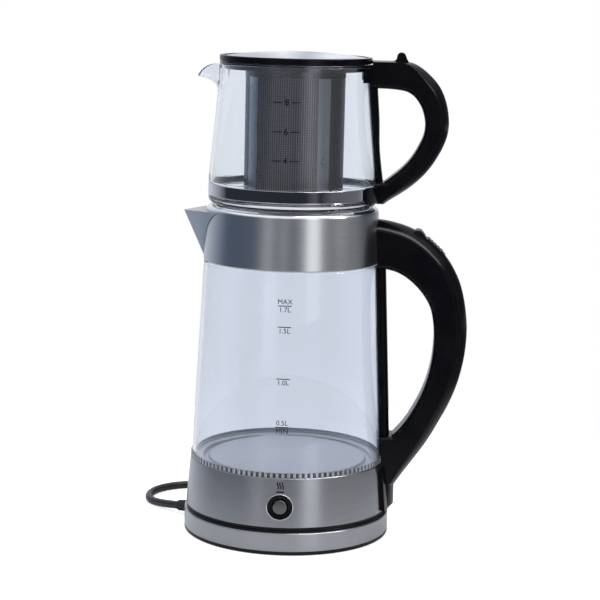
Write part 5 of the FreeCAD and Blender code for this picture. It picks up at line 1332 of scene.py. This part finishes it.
@dataclass(frozen=True)
class KettleHandle:
    """The kettle's grip with its foot, the pad on the shell and the spine on the glass."""

    wide: float = 28.0
    outer: tuple[Pair, ...] = (
        (57.0, 239.0), (66.0, 238.3), (74.0, 237.0), (85.0, 234.0), (94.0, 229.9), (103.0, 223.8),
        (111.0, 216.4), (117.2, 209.2), (122.6, 200.2), (126.8, 190.5), (130.2, 177.0), (132.2, 161.0),
        (132.0, 146.0), (130.2, 131.5), (126.6, 116.5), (121.2, 102.0), (113.6, 86.4), (105.0, 71.0),
        (96.0, 57.8), (88.2, 46.8), (82.4, 38.3),
    )
    inner: tuple[Pair, ...] = (
        (78.6, 75.8), (86.4, 85.0), (93.3, 95.9), (99.4, 108.4), (103.8, 121.5), (106.5, 135.0), (107.6, 149.0),
        (107.0, 161.5), (104.6, 173.5), (100.2, 182.0), (94.0, 189.6), (86.6, 196.0), (79.0, 200.2),
        (71.4, 202.3),
    )
    foot_face: float = 81.5
    foot_low: float = 17.6
    root: float = 57.0
    pad_half_angle: float = 16.8
    pad: Pair = (21.2, 51.8)
    pad_thick: float = 2.6
    spine_half: float = 7.5
    spine_proud: float = 5.2
    spine_ease: tuple[Pair, ...] = ((0.0, 3.2), (0.25, 2.5), (0.8, 1.6), (1.6, 0.85), (2.6, 0.4), (4.2, 0.1))
    slope: tuple[Pair, Pair] = ((91.9, 231.5), (114.3, 213.1))
    key_wide: float = 14.0
    key_deep: float = 5.0
    key_lip: tuple[Pair, ...] = (
        (0.1, 0.2), (1.4, 1.4), (2.8, 2.1), (4.0, 2.2), (6.0, 1.9), (8.0, 1.3), (10.2, 0.5)
    )
    travel: float = 2.5
    gap: float = 0.3
    ribs: int = 5

    @property
    def slope_long(self) -> float:
        """The length of the release key."""
        return (Vector(self.slope[1]) - Vector(self.slope[0])).length

    def on_slope(self, *spots: Pair) -> list[Pair]:
        """Points of the middle plane, from how far along the slope and out of it they are."""
        start = Vector(self.slope[0])
        way = (Vector(self.slope[1]) - start).normalized()
        return [tuple(start + way * along + Vector((-way.y, way.x)) * out) for along, out in spots]

    def envelope(self, kettle: KettleBody, collar: KettleCollar) -> Mesh:
        """What the handle leans on: shell, trim, glass and collar."""
        rows = (
            (kettle.shell_low_radius, kettle.shell_low - 10), (kettle.shell_low_radius, kettle.shell_low),
            (kettle.shell_top_radius, kettle.shell_top), (kettle.trim_radius, kettle.shell_top + 0.05),
            (kettle.trim_radius, kettle.trim_top + 0.1),
            (kettle.glass_radius(kettle.trim_top), kettle.trim_top + 0.15),
            (kettle.glass_top_radius, kettle.glass_top), (collar.low_radius, collar.low - 1),
            (collar.low_radius, collar.low), (collar.top_radius, collar.top),
            (collar.top_radius, collar.top + 10),
        )
        outside = [(radius + SNUG, height) for radius, height in rows]
        return turned([(0.0, rows[0][1]), *outside, (0.0, rows[-1][1])])

    def ring(self, outer_inset: float, inner_inset: float) -> list[Iterable[Pair]]:
        """The grip's outline for the insets of its back and its finger side."""
        outer = smooth_path(shifted(self.outer, outer_inset, GRIP_FADE), 90)
        inner = smooth_path(shifted(self.inner, inner_inset), 60)
        face, low, root = self.foot_face - GRIP_FADE[-1] * outer_inset, self.foot_low, self.root
        foot = (
            (face, outer[-1].y - 1.4), (face, 34.0), (face, 28.0), (face, 22.6),
            (76.8 - 0.3 * outer_inset, low), (66.0, low), (root, low), (root, 40.0), (root, inner[0].y),
        )
        return [outer, foot, inner, ((root, inner[-1].y), (root, 220.0))]

    def grip(self, kettle: KettleBody, collar: KettleCollar) -> Mesh:
        """The grip with its pad, clear of the kettle and with the key's slot."""
        low, high = self.pad
        corners = (
            (60.0, low), (kettle.shell_low_radius + self.pad_thick, low, 0.9),
            (kettle.shell_top_radius + self.pad_thick + 0.4, high, 0.9), (60.0, high),
        )
        pad = turned(corners, 48, 2 * self.pad_half_angle, -self.pad_half_angle)
        near, far = -self.gap, self.slope_long + self.gap
        floor, above = -(self.key_deep + self.travel + self.gap), 12
        spots = self.on_slope((near, floor), (far, floor), (far, above), (near, above))
        slot = bar_mesh(spots, self.key_wide + 2 * self.gap)
        return carved(grip_body(self.wide / 2, self.ring), [self.envelope(kettle, collar), slot], [pad])

    def key(self) -> Mesh:
        """The release key with its raised lip and its ribs."""
        long, start = self.slope_long, 10.6
        step = (long - start - 2.6) / self.ribs
        top = list(self.key_lip)
        for rib in range(self.ribs):
            left, rise = start + rib * step, 1.7 - 0.15 * rib
            top += [(left + 0.22 * step, rise), (left + 0.7 * step, rise), (left + step, rise - 0.6)]
        outline = self.on_slope(*top, (long, 0.2), (long, -self.key_deep), (0.1, -self.key_deep))
        ends = self.on_slope((long / 2, -self.key_deep + 0.5), (long / 2, -self.key_deep - 5.0))
        stem = rod_mesh(*((x, 0, z) for x, z in ends), 2.0, None, 32, 0.2)
        return carved(bar_mesh(outline, self.key_wide, 0.28), join=[stem])

    def spine(self, kettle: KettleBody, collar: KettleCollar) -> Mesh:
        """The strip that runs up the glass behind the fingers."""
        low, high = self.inner[0][1] - 2.0, self.inner[-1][1] + 2.0
        levels = [low + (high - low) * step / 12 for step in range(13)]
        front, back = (
            [(kettle.glass_radius(level) + out, level) for level in levels] for out in (self.spine_proud, -6.0)
        )
        body = strip(self.spine_half, self.spine_ease, front, back)
        return carved(body, [self.envelope(kettle, collar)])

    def build(self, kettle: KettleBody, collar: KettleCollar) -> None:
        """Place the grip, the spine and the key."""
        body, grip, spine = Body.KETTLE, self.grip(kettle, collar), self.spine(kettle, collar)
        place("kettle_grip", grip, Look.HANDLE, body, "black_gloss", "kettle_handle", 26)
        place("glass_spine", spine, Look.HANDLE, body, "black_gloss", "kettle_spine", 26)
        place("release_key", self.key(), Look.BLACK, Body.RELEASE, "black_gloss", "release_button", 26)


@dataclass(frozen=True)
class PowerSwitch:
    """The round push button in the front of the shell."""

    face: float = 74.88
    high: float = 36.0
    bezel_radius: float = 9.2
    bezel_proud: float = 1.0
    cap_radius: float = 5.3
    cap_proud: float = 1.9
    behind: float = 17.0

    def facing(self, corners: Section, steps: int = 96) -> Mesh:
        """A turned piece that looks to the front at the switch's height."""
        work = turned(corners, steps)
        turn = Matrix.Translation((0, 0, self.high * MM)) @ Matrix.Rotation(math.pi / 2, 4, "X")
        bmesh.ops.transform(work, matrix=turn, verts=work.verts[:])
        return work

    def bezel(self) -> Mesh:
        """The black ring round the cap, dished towards it."""
        back, step, front = self.face - self.behind + 0.1, self.face - 3, self.face + self.bezel_proud
        bore, outer = self.cap_radius + 0.08, self.bezel_radius
        return self.facing(
            (
                (bore, back), (outer - 1.6, back), (outer - 1.6, step), (outer, step), (outer, front, 0.5),
                (bore + 0.9, front - 0.35, 0.3), (bore, front - 1.0, 0.2),
            )
        )

    def ring(self, kettle: KettleBody) -> Mesh:
        """The bright ring that lies on the shell round the bezel."""
        inner, back, front = self.bezel_radius + 0.1, self.face - 2, self.face + self.bezel_proud
        outer = inner + 0.55
        band = self.facing(((inner, back), (outer, back), (outer, front, 0.3), (inner, front, 0.15)))
        rows = [(kettle.shell_radius(height) + 0.04, height) for height in (22.0, 50.0)]
        return carved(band, [turned([(0.0, 22.0), *rows, (0.0, 50.0)])])

    def cap(self) -> Mesh:
        """The cap that is pressed, slightly crowned."""
        back, front, radius = self.face - self.behind, self.face + self.cap_proud, self.cap_radius
        corners = (
            (1.2, back + 3.2), (radius, back + 3.2), (radius, front - 0.5, 0.5),
            (radius - 0.9, front - 0.12, 0.5),
            (radius * 0.5, front - 0.02), (0.0, front), (0.0, back + 6.2), (1.2, back + 6.2),
        )
        return self.facing(corners, 72)

    def build(self, kettle: KettleBody) -> None:
        """Place the switch."""
        place("switch_bezel", self.bezel(), Look.HANDLE, Body.KETTLE, "black_gloss", "button_bezel")
        place("switch_ring", self.ring(kettle), Look.POLISHED, Body.KETTLE, "polished_steel", "bezel_trim")
        place("switch_cap", self.cap(), Look.CAP, Body.SWITCH, "button_cap", "power_button")


# --------------------------------------------------------------------- teapot


@dataclass(frozen=True)
class Hinge:
    """The lid's pin, its lever and what leaves them room."""

    x: float = 66.5
    z: float = 350.6
    lever_wide: float = 9.6
    lever_reach: float = 82.6

    def axle(self, half: float, radius: float, sides: int, ease: float = 0.0) -> Mesh:
        """A round bar along the pin, from its half length and its radius in mm."""
        return rod_mesh((self.x, -half, self.z), (self.x, half, self.z), radius, None, sides, ease)


@dataclass(frozen=True)
class Teapot:
    """The glass pot with its pouring lip, its steel band, its clamp and its handle."""

    foot_low: float = 243.4
    base: float = 248.8
    inner_base: float = 252.2
    foot_radius: float = 56.0
    foot_inner: float = 52.0
    low_radius: float = 62.6
    band_radius: float = 63.0
    band_low: float = 255.0
    band_top: float = 263.6
    band_glass: float = 62.2
    shoulder: float = 268.0
    neck: float = 331.7
    neck_radius: float = 56.9
    rim: float = 350.6
    rim_radius: float = 56.3
    flare: tuple[Pair, ...] = ((4, 0.28), (7, 0.1), (10, 0.0), (13, 0.0), (16, 0.0))
    wall: float = 2.2
    lip_tip: float = 72.3
    lip_half_angle: float = 19.0
    lip_low: float = 331.0
    lip_drop: float = 9.5
    clamp_half: float = 31.0
    clamp_thick: float = 2.0
    lid_room: float = 57.7
    handle_wide: float = 24.0
    crowning: float = 0.8
    outer: tuple[Pair, ...] = (
        (55.0, 355.2), (62.0, 355.2), (71.0, 355.2), (79.0, 355.1), (86.0, 354.0), (92.5, 350.6), (98.2, 346.0),
        (103.5, 340.6), (107.6, 334.6), (110.8, 327.0), (112.8, 318.8), (113.6, 310.0), (112.8, 302.0),
        (110.2, 294.0), (106.2, 286.0), (101.2, 278.0), (95.4, 271.0), (88.6, 264.6), (80.6, 258.6),
        (71.4, 252.6),
    )
    inner: tuple[Pair, ...] = (
        (67.2, 266.8), (72.6, 271.2), (79.2, 276.9), (84.8, 283.0), (89.2, 289.4), (92.4, 295.6), (94.9, 301.6),
        (95.9, 308.0), (95.4, 314.0), (93.6, 320.4), (91.0, 325.4), (87.0, 330.2), (82.0, 333.2), (76.0, 334.4),
        (68.0, 335.0), (60.4, 335.2),
    )
    root: float = 55.0
    foot_end: float = 249.6
    spine_half: float = 9.0
    spine: tuple[Pair, ...] = ((66.6, 264.9), (63.4, 289.7), (62.5, 311.8), (60.8, 333.7), (60.6, 337.2))
    spine_ease: tuple[Pair, ...] = ((0.0, 2.2), (0.25, 1.7), (0.8, 1.1), (1.6, 0.6), (2.8, 0.25), (4.5, 0.05))
    marks_at: float = -92.4

    def glass_radius(self, height: float) -> float:
        """The glass's outer radius at a height."""
        rows = (
            (self.base + 2.2, self.low_radius), (self.shoulder, self.band_radius - 0.2),
            (self.neck, self.neck_radius), (self.neck + 10, self.rim_radius),
        )
        return on_polyline(rows, height)

    def bowl(self) -> Mesh:
        """The glass before its lip is pulled out."""
        wall, band, foot, low = self.wall, self.band_glass, self.foot_radius, self.low_radius
        belly, edge = self.band_radius - 0.2, self.band_radius - 0.1
        throat, rim = self.neck_radius, self.rim_radius
        base, shoulder, neck = self.base, self.shoulder, self.neck
        corners = [
            (self.foot_inner, self.foot_low, 1.2), (foot, self.foot_low, 1.2), (foot, base - 1.2, 0.8),
            (foot + 1.4, base, 0.6), (low - 1.8, base + 0.2, 1.0), (low, base + 2.2, 1.2),
            (edge, self.band_low - 1.2, 0.5), (band, self.band_low - 0.4, 0.4),
            (band, self.band_top + 0.4, 0.4), (edge, self.band_top + 1.2, 0.5), (belly, shoulder, 3.0),
            *(
                (belly + (throat - belly) * share, shoulder + (neck - shoulder) * share)
                for share in (0.2, 0.4, 0.6, 0.8, 0.9)
            ),
            (throat, neck, 2.5), *((rim + out, neck + up) for up, out in self.flare),
            (rim, self.rim, 0.7), (rim - wall, self.rim, 0.7),
            *((rim + out - wall, neck + up) for up, out in reversed(self.flare)), (throat - wall, neck, 2.0),
            (belly - wall, shoulder, 3.0), (band - wall, self.band_low, 2.5), (foot + 1, self.inner_base, 2.5),
            (30.0, self.inner_base), (0.0, self.inner_base), (0.0, base + 0.8),
            (self.foot_inner, base + 0.8, 1.5),
        ]
        return turned(corners, 360)

    def glass(self) -> Mesh:
        """The bowl, whose rim is pulled out to a lip at -X."""
        work = self.bowl()
        for vert in work.verts:
            level = vert.co.z / MM
            turn = abs(math.degrees(math.atan2(vert.co.y, -vert.co.x)))
            if level <= self.lip_low or turn >= self.lip_half_angle:
                continue
            side = 1 - turn / self.lip_half_angle
            beak = side * side * (3 - 2 * side)
            rise = min((level - self.lip_low) / (self.rim - 4.0 - self.lip_low), 1.0)
            swell = rise * rise * (3 - 2 * rise)
            flat = Vector((vert.co.x, vert.co.y, 0))
            vert.co += flat.normalized() * ((self.lip_tip - self.rim_radius) * beak * swell * MM)
            sag = max(0.0, (level - self.neck - 8) / (self.rim - self.neck - 8))
            vert.co.z -= self.lip_drop * MM * beak**3 * sag
        return work

    def band(self) -> Mesh:
        """The steel band round the glass."""
        inner, outer, low, top = self.band_glass + 0.1, self.band_radius, self.band_low, self.band_top
        return turned(((inner, low), (outer, low, 0.3), (outer, top, 0.3), (inner, top)))

    def clamp(self) -> Mesh:
        """The black clamp that joins the handle to the band."""
        inner = self.band_radius + 0.1
        outer = inner + self.clamp_thick
        return sector(inner, outer, self.band_low - 2.6, self.band_top + 0.9, self.clamp_half, 0.7)

    def envelope(self) -> Mesh:
        """What the handle leans on: the glass, the infuser's flange and the lid."""
        belly, throat, rim = self.band_radius + SNUG, self.neck_radius + SNUG, self.rim_radius + SNUG
        above, top, lid = self.rim + 0.2, self.rim + 20, self.lid_room
        return turned(
            (
                (0.0, self.foot_low), (belly, self.foot_low), (belly, self.shoulder), (throat, self.neck),
                (rim, self.neck + 10), (rim, above), (lid, above), (lid, top), (0.0, top),
            )
        )

    def ring(self, outer_inset: float, inner_inset: float) -> list[Iterable[Pair]]:
        """The grip's outline for the insets of its back and its finger side."""
        outer_inset *= self.crowning
        outer = smooth_path(shifted(self.outer, outer_inset, GRIP_FADE, HINGE_FADE), 80)
        inner = smooth_path(shifted(self.inner, inner_inset), 60)
        low, root = self.foot_end + 0.3 * outer_inset, self.root
        foot = ((67.4 - 0.4 * outer_inset, low), (root, low), (root, 258.0), (root, inner[0].y))
        return [outer, foot, inner, ((root, inner[-1].y),)]

    def grip(self, hinge: Hinge) -> Mesh:
        """The grip with its neck pad and the slot of the lid's lever."""
        pad = sector(self.rim_radius - 1, self.rim_radius + 2.5, self.rim - 11, self.rim - 0.1, 27, 0.5)
        outer = self.band_radius + 0.2 + self.clamp_thick
        clamp_room = sector(20.0, outer, self.band_low - 2.7, self.band_top + 1.0, self.clamp_half + 1, 0.0)
        half = hinge.lever_wide / 2 + 0.3
        sweep = hinge.axle(half, hinge.lever_reach - hinge.x + 1.3, 96)
        near, far, low, high = hinge.x - 4.4, hinge.lever_reach + 4, hinge.z - 13.0, hinge.z + 20
        room = bar_mesh(((near, low), (far, low), (far, high), (near, high)), 2 * half + 1)
        near, far, low, high = 50.0, hinge.lever_reach + 1.2, hinge.z - 4.4, self.outer[0][1] + 3
        slot = bar_mesh(((near, low), (far, low), (far, high), (near, high)), 2 * half)
        body = grip_body(self.handle_wide / 2, self.ring)
        return carved(body, [self.envelope(), clamp_room, carved(sweep, within=[room]), slot], [pad])

    def spine_strip(self) -> Mesh:
        """The strip that runs up the glass behind the fingers."""
        path = smooth_path(self.spine, 20)
        body = strip(self.spine_half, self.spine_ease, path, [(52.0, spot.y) for spot in path])
        return carved(body, [self.envelope()])

    def marks(self) -> Mesh:
        """The cup marks printed on the glass."""
        parts = []
        for text, height in (("8", 326.3), ("6", 305.5), ("4", 285.0)):
            for flat in (lettering(text, 4.4, 0.04), dash(6.6, 0.7, -6.3), dash(6.6, 0.7, 6.3)):
                parts.append(wrapped(flat, self.marks_at, height, self.glass_radius))
        return merged(parts)

    def build(self, hinge: Hinge) -> None:
        """Place the pieces."""
        pot, gloss = Body.TEAPOT, "black_gloss"
        place("pot_wall", self.glass(), Look.POT_GLASS, pot, "clear_glass", "teapot_glass")
        place("pot_band", self.band(), Look.BAND_STEEL, pot, "polished_steel", "teapot_band")
        place("pot_clamp", self.clamp(), Look.HANDLE, pot, gloss, "band_clamp")
        place("pot_grip", self.grip(hinge), Look.HANDLE, pot, gloss, "teapot_handle", 26)
        place("pot_spine", self.spine_strip(), Look.HANDLE, pot, gloss, "teapot_spine", 26)
        place("cup_marks", self.marks(), Look.PRINT, pot, "black_plastic")


@dataclass(frozen=True)
class Infuser:
    """The mesh basket with its plain bands and its flange."""

    radius: float = 37.1
    low: float = 257.5
    top: float = 347.1
    bottom_band: float = 3.0
    top_band: float = 5.0
    window: float = 74.0
    first_window: float = -96.4
    sheet: float = 0.4
    wall: float = 0.8
    flange_low: float = 347.2
    flange_top: float = 352.1
    pot_rim: float = 350.7
    neck: float = 52.8
    neck_wall: float = 1.8
    flange_radius: float = 56.2

    def mesh(self) -> Mesh:
        """The perforated wall."""
        outer = self.radius - self.sheet
        inner = outer - 0.2
        low, high = self.low + self.bottom_band - 0.5, self.top - self.top_band + 0.5
        return turned(((inner, low), (outer, low), (outer, high), (inner, high)), 200)

    def cup(self) -> Mesh:
        """The plain bottom with the four uprights."""
        outer, inner, low = self.radius, self.radius - self.wall, self.low
        edge = low + self.bottom_band
        corners = (
            (0.0, low), (outer, low, 1.6), (outer, edge, 0.2), (inner, edge, 0.2), (inner, low + 0.8, 1.2),
            (0.0, low + 0.8),
        )
        start, end, face = edge - 0.4, self.top - self.top_band + 0.4, outer - 0.05
        post = ((inner, start), (face, start), (face, end), (inner, end))
        firsts = [self.first_window + self.window / 2 + 90 * quarter for quarter in range(4)]
        return merged([turned(corners, 200), *(turned(post, 16, 90 - self.window, first) for first in firsts)])

    def top_ring(self) -> Mesh:
        """The plain band under the flange."""
        outer, inner, top = self.radius, self.radius - self.wall, self.top
        low, under = top - self.top_band, top - 0.8
        corners = (
            (inner, low, 0.2), (outer, low, 0.2), (outer, under, 0.3), (outer + 3, under), (outer + 3, top),
            (inner, top),
        )
        return turned(corners, 200)

    def flange(self) -> Mesh:
        """The neck ring that rests on the pot's rim."""
        neck, low, top, rim = self.neck, self.flange_low, self.flange_top, self.pot_rim
        bore, throat, outer = self.radius + 0.3, neck - self.neck_wall, self.flange_radius
        corners = (
            (bore, low), (neck, low, 0.6), (neck, rim, 0.2), (outer, rim, 0.2), (outer, top, 0.5),
            (throat, top, 0.5), (throat, low + 1.4, 0.6), (bore, low + 1.4),
        )
        return turned(corners, 200)

    def build(self) -> None:
        """Place the basket and its flange."""
        pot = Body.TEAPOT
        place("basket_frame", self.cup(), Look.FRAME_STEEL, pot, "mesh_steel", "infuser_basket")
        # the top band and the flange take the near-black steel that paints the shade under the lid
        place("basket_top", self.top_ring(), Look.FLANGE_STEEL, pot, "mesh_steel")
        place("basket_mesh", self.mesh(), Look.MESH, pot, "mesh_steel")
        place("basket_flange", self.flange(), Look.FLANGE_STEEL, pot, "satin_steel", "infuser_rim")


@dataclass(frozen=True)
class PotLid:
    """The lid: a black rim, a pale dome, a seal and a hinged lever with its knob."""

    radius: float = 56.1
    low: float = 352.7
    rim_high: float = 4.4
    dome_radius: float = 52.6
    dome_rise: float = 4.0
    dome_wall: float = 1.0
    dome_shares: tuple[float, ...] = (1.0, 0.96, 0.9, 0.8, 0.7, 0.6, 0.5, 0.4, 0.3, 0.2, 0.12)
    seal_radius: float = 50.0
    seal_low: float = 348.9
    handle_top: float = 355.2
    knob_high: float = 6.8
    # the knob seen from the side: how far along, and how far below its top
    knob: tuple[Pair, ...] = (
        (80.9, 4.0), (80.3, 2.5), (79.4, 1.2), (78.2, 0.6), (76.9, 0.5), (75.6, 0.8), (74.6, 1.7), (74.0, 3.1)
    )
    barrel: float = 3.4
    pin_bore: float = 1.53

    def rim(self) -> Mesh:
        """The black ring that carries the dome."""
        outer, inner, low = self.radius, self.dome_radius + 0.1, self.low
        top, floor = low + self.rim_high, low + 1.6
        return turned(
            ((0.0, low), (outer, low, 0.4), (outer, top, 0.9), (inner, top, 0.3), (inner, floor), (0.0, floor))
        )

    def dome(self) -> Mesh:
        """The crowned cover plate."""
        top, outer, low = self.low + self.rim_high - 0.7, self.dome_radius, self.low + 1.7
        inner, wall = outer - self.dome_wall, self.dome_wall
        rows = [(share, top + self.dome_rise * (1 - share * share)) for share in self.dome_shares]
        crown = rows[-1][1]
        upper = [(outer * share, height) for share, height in rows]
        lower = [(inner * share, height - wall) for share, height in reversed(rows)]
        return turned([(inner, low), (outer, low), *upper, (0.0, crown), (0.0, crown - wall), *lower], 200)

    def seal(self) -> Mesh:
        """The silicone skirt that closes the infuser."""
        outer, inner, top, floor = self.seal_radius, self.seal_radius - 1.6, self.low - 0.1, self.low - 1.8
        corners = (
            (0.0, floor), (inner, floor, 0.4), (inner, self.seal_low, 0.3), (outer, self.seal_low, 0.5),
            (outer, top), (0.0, top),
        )
        return turned(corners, 160)

    def lever(self, hinge: Hinge) -> Mesh:
        """The lever with its thumb knob and its barrel on the pin."""
        x, z, reach, top = hinge.x, hinge.z, hinge.lever_reach, self.handle_top
        knob = top + self.knob_high
        outline = (
            (55.0, self.low + 0.4), (61.2, self.low + 0.4), (x - 2.6, z + 0.2), (x + 2.6, z + 0.2),
            (x + 5.2, z + 1.4), (reach, z + 1.9), (reach, top - 0.4), (81.3, top + 1.6),
            *((along, knob - under) for along, under in self.knob), (73.7, top + 1.6), (72.6, top + 0.3),
            (71.0, top), (55.0, top),
        )
        barrel = hinge.axle(hinge.lever_wide / 2, self.barrel, 64, 0.3)
        room = rod_mesh((0, 0, 330), (0, 0, 370), self.radius + 0.1, sides=240)
        return carved(
            bar_mesh(outline, hinge.lever_wide, 0.4), [hinge.axle(20, self.pin_bore, 48), room], [barrel]
        )

    def build(self, hinge: Hinge) -> None:
        """Place the lid's pieces."""
        lid, gloss = Body.LID, "black_gloss"
        place("lid_ring", self.rim(), Look.HANDLE, lid, gloss, "lid_rim")
        place("lid_crown", self.dome(), Look.CROWN, lid, "satin_steel", "lid_dome")
        place("lid_skirt", self.seal(), Look.SILICONE, lid, "silicone", "lid_seal")
        place("lid_thumb", self.lever(hinge), Look.HANDLE, lid, gloss, "lid_lever", 26)


# ---------------------------------------------------------------------- stage


@dataclass(frozen=True)
class Studio:
    """The pale floor, the soft light and the camera."""

    focal: float = 112.96
    spot: Colour = (0.0850, -1.3890, 0.4093)
    pan: float = 0.284
    tilt: float = 9.535
    roll: float = 1.345
    turn: float = 3.5
    # bands of the room seen in the steel: (azimuth from the camera's side, colour)
    bands: tuple[tuple[float, Colour], ...] = (
        (-180, (0.75, 0.78, 0.84)), (-178.4, (1.25, 1.27, 1.3)), (-177.3, (0.5, 0.54, 0.64)),
        (-176.3, (0.5, 0.54, 0.64)), (-175.6, (1.35, 1.36, 1.38)), (-175, (0.7, 0.7, 0.72)),
        (-165, (0.8, 0.84, 0.9)), (-128, (0.5, 0.56, 0.66)), (-106, (0.25, 0.31, 0.4)), (-92, (0.1, 0.13, 0.2)),
        (-47, (0.08, 0.11, 0.17)), (-38, (0.25, 0.26, 0.29)), (-28, (0.55, 0.57, 0.61)),
        (-17, (0.2, 0.21, 0.24)), (-6, (0.38, 0.39, 0.42)), (4, (0.12, 0.13, 0.15)), (14, (0.24, 0.25, 0.27)),
        (21, (0.5, 0.52, 0.56)), (25, (1.5, 1.52, 1.55)), (38, (1.5, 1.52, 1.55)), (43, (0.33, 0.345, 0.37)),
        (54, (0.13, 0.135, 0.145)), (74, (0.14, 0.145, 0.155)), (98, (0.26, 0.27, 0.29)),
        (116, (0.06, 0.065, 0.08)), (145, (0.1, 0.11, 0.13)), (168, (0.5, 0.53, 0.58)),
        (180, (0.75, 0.78, 0.84)),
    )
    # the narrow strip along the skyline, which only polished steel shows
    skyline: tuple[tuple[float, Colour], ...] = (
        (-180, (0.7, 0.74, 0.8)), (-140, (0.55, 0.58, 0.65)), (-115, (0.28, 0.3, 0.35)),
        (-98, (0.025, 0.03, 0.04)), (20, (0.025, 0.028, 0.035)), (33, (0.1, 0.105, 0.12)),
        (40, (0.03, 0.032, 0.038)), (56, (0.11, 0.115, 0.13)), (102, (0.15, 0.155, 0.17)),
        (120, (0.36, 0.38, 0.42)), (180, (0.7, 0.74, 0.8)),
    )
    skyline_span: Pair = (-0.15, -0.085)
    ceiling: Colour = (0.9, 0.92, 0.96)
    ceiling_span: Pair = (0.4, 0.7)
    # lamps: name, place and size in metres, power in watts, whether they only show in gloss
    lamps: tuple[tuple[str, Colour, Pair, float, bool], ...] = (
        ("top_light", (0.1, -0.1, 1.5), (1.2, 1.2), 9.0, False),
        ("left_light", (-1.3, -0.9, 0.9), (0.5, 1.0), 5.0, False),
        ("arc_light", (0.55, -0.12, 1.15), (0.2, 1.3), 12.0, True),
    )

    def world(self) -> None:
        """The room: white for the eye and through glass, soft bands for light and gloss."""
        world = bpy.data.worlds.new("studio")
        bpy.context.scene.world = world
        world.use_nodes = True
        nodes = Nodes(world.node_tree)
        x, y, height = nodes.axes("Generated")
        azimuth = nodes.math("ARCTAN2", x, nodes.math("MULTIPLY", y, -1.0))
        factor = nodes.math("ADD", nodes.math("DIVIDE", azimuth, TURN), 0.5)
        room, skyline = (
            nodes.ramp(factor, [(0.5 + math.radians(angle) / TURN, colour) for angle, colour in bands])
            for bands in (self.bands, self.skyline)
        )
        tests = zip(("GREATER_THAN", "LESS_THAN"), self.skyline_span)
        edges = (nodes.math(test, height, edge) for test, edge in tests)
        walls = nodes.blend(nodes.math("MULTIPLY", *edges), room, skyline)
        low, high = self.ceiling_span
        above = nodes.add("ShaderNodeMapRange", Value=height, From_Min=low, From_Max=high)[0]
        light = nodes.add("ShaderNodeBackground", Color=nodes.blend(above, walls, self.ceiling))[0]
        backdrop = nodes.add("ShaderNodeBackground", Color=grey(1.0), Strength=1.0)[0]
        path = nodes.add("ShaderNodeLightPath")
        unreflected = nodes.math("LESS_THAN", path["Glossy Depth"], 0.5)
        in_one_wall = nodes.math("LESS_THAN", path["Transmission Depth"], 2.5)
        clear = nodes.math("MAXIMUM", unreflected, in_one_wall)
        through = nodes.math("MULTIPLY", path["Is Transmission Ray"], clear)
        seen = nodes.math("MAXIMUM", path["Is Camera Ray"], through)
        blend = nodes.tree.nodes.new("ShaderNodeMixShader")
        for socket, value in zip(blend.inputs, (seen, light, backdrop)):
            nodes.join(socket, value)
        nodes.add("ShaderNodeOutputWorld", Surface=blend.outputs[0])

    def floor(self) -> None:
        """A white disc that glows just enough to be white round the base's soft shadow."""
        work = bmesh.new()
        bmesh.ops.create_circle(work, cap_ends=True, segments=128, radius=Look.FLOOR.value.reach)
        mesh = bpy.data.meshes.new("floor")
        work.to_mesh(mesh)
        work.free()
        mesh.materials.append(Look.FLOOR.value.build())
        linked("floor", mesh)

    def lamp(self, name: str, spot: Colour, size: Pair, power: float, mirrored: bool) -> None:
        """One soft area light that points at the tea maker.

        Args:
            name: its name.
            spot: where it hangs, in metres.
            size: its width and height in metres.
            power: its power in watts.
            mirrored: whether it only shows in gloss, or only lights.
        """
        data = bpy.data.lights.new(name, "AREA")
        data.shape = "RECTANGLE"
        data.size, data.size_y = size
        data.energy = power
        lamp = linked(name, data)
        lamp.location = spot
        lamp.rotation_mode = "QUATERNION"
        lamp.rotation_quaternion = (Vector((0, 0, 0.2)) - Vector(spot)).to_track_quat("-Z", "Y")
        lamp.visible_camera = lamp.visible_transmission = False
        lamp.visible_glossy = mirrored
        lamp.visible_diffuse = not mirrored

    def camera(self) -> None:
        """The camera at its fitted place."""
        pan, tilt, roll = (math.radians(value) for value in (self.pan, self.tilt, self.roll))
        ahead = Vector((math.sin(pan) * math.cos(tilt), math.cos(pan) * math.cos(tilt), -math.sin(tilt)))
        side = Vector((math.cos(pan), -math.sin(pan), 0))
        up = side.cross(ahead)
        right = side * math.cos(roll) + up * math.sin(roll)
        top = up * math.cos(roll) - side * math.sin(roll)
        spin = Matrix.Rotation(math.radians(self.turn), 3, "Z")
        data = bpy.data.cameras.new("camera")
        data.lens = self.focal
        data.sensor_width = 36.0
        data.clip_start, data.clip_end = 0.05, 20.0
        camera = linked("camera", data)
        camera.rotation_mode = "QUATERNION"
        axes = Matrix((spin @ right, spin @ top, -(spin @ ahead)))
        camera.rotation_quaternion = axes.transposed().to_quaternion()
        camera.location = Vector(self.spot)
        bpy.context.scene.camera = camera

    def build(self) -> None:
        """Set the whole stage."""
        bpy.context.scene.view_settings.view_transform = "Standard"
        self.world()
        self.floor()
        self.camera()
        for row in self.lamps:
            self.lamp(*row)


def main() -> None:
    """Build the stage and every sub-assembly."""
    logging.basicConfig(level=logging.INFO, format="%(name)s: %(message)s")
    Studio().build()
    MainsCord().build()
    PowerBase().build()
    kettle, collar, hinge = KettleBody(), KettleCollar(), Hinge()
    kettle.build()
    collar.build()
    KettleHandle().build(kettle, collar)
    PowerSwitch().build(kettle)
    Teapot().build(hinge)
    Infuser().build()
    PotLid().build(hinge)
    for look, names in DRESSED.items():
        for name in names:
            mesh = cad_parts[name].data
            mesh.materials.clear()
            mesh.materials.append(look.value.build())


if __name__ == "__main__":
    main()
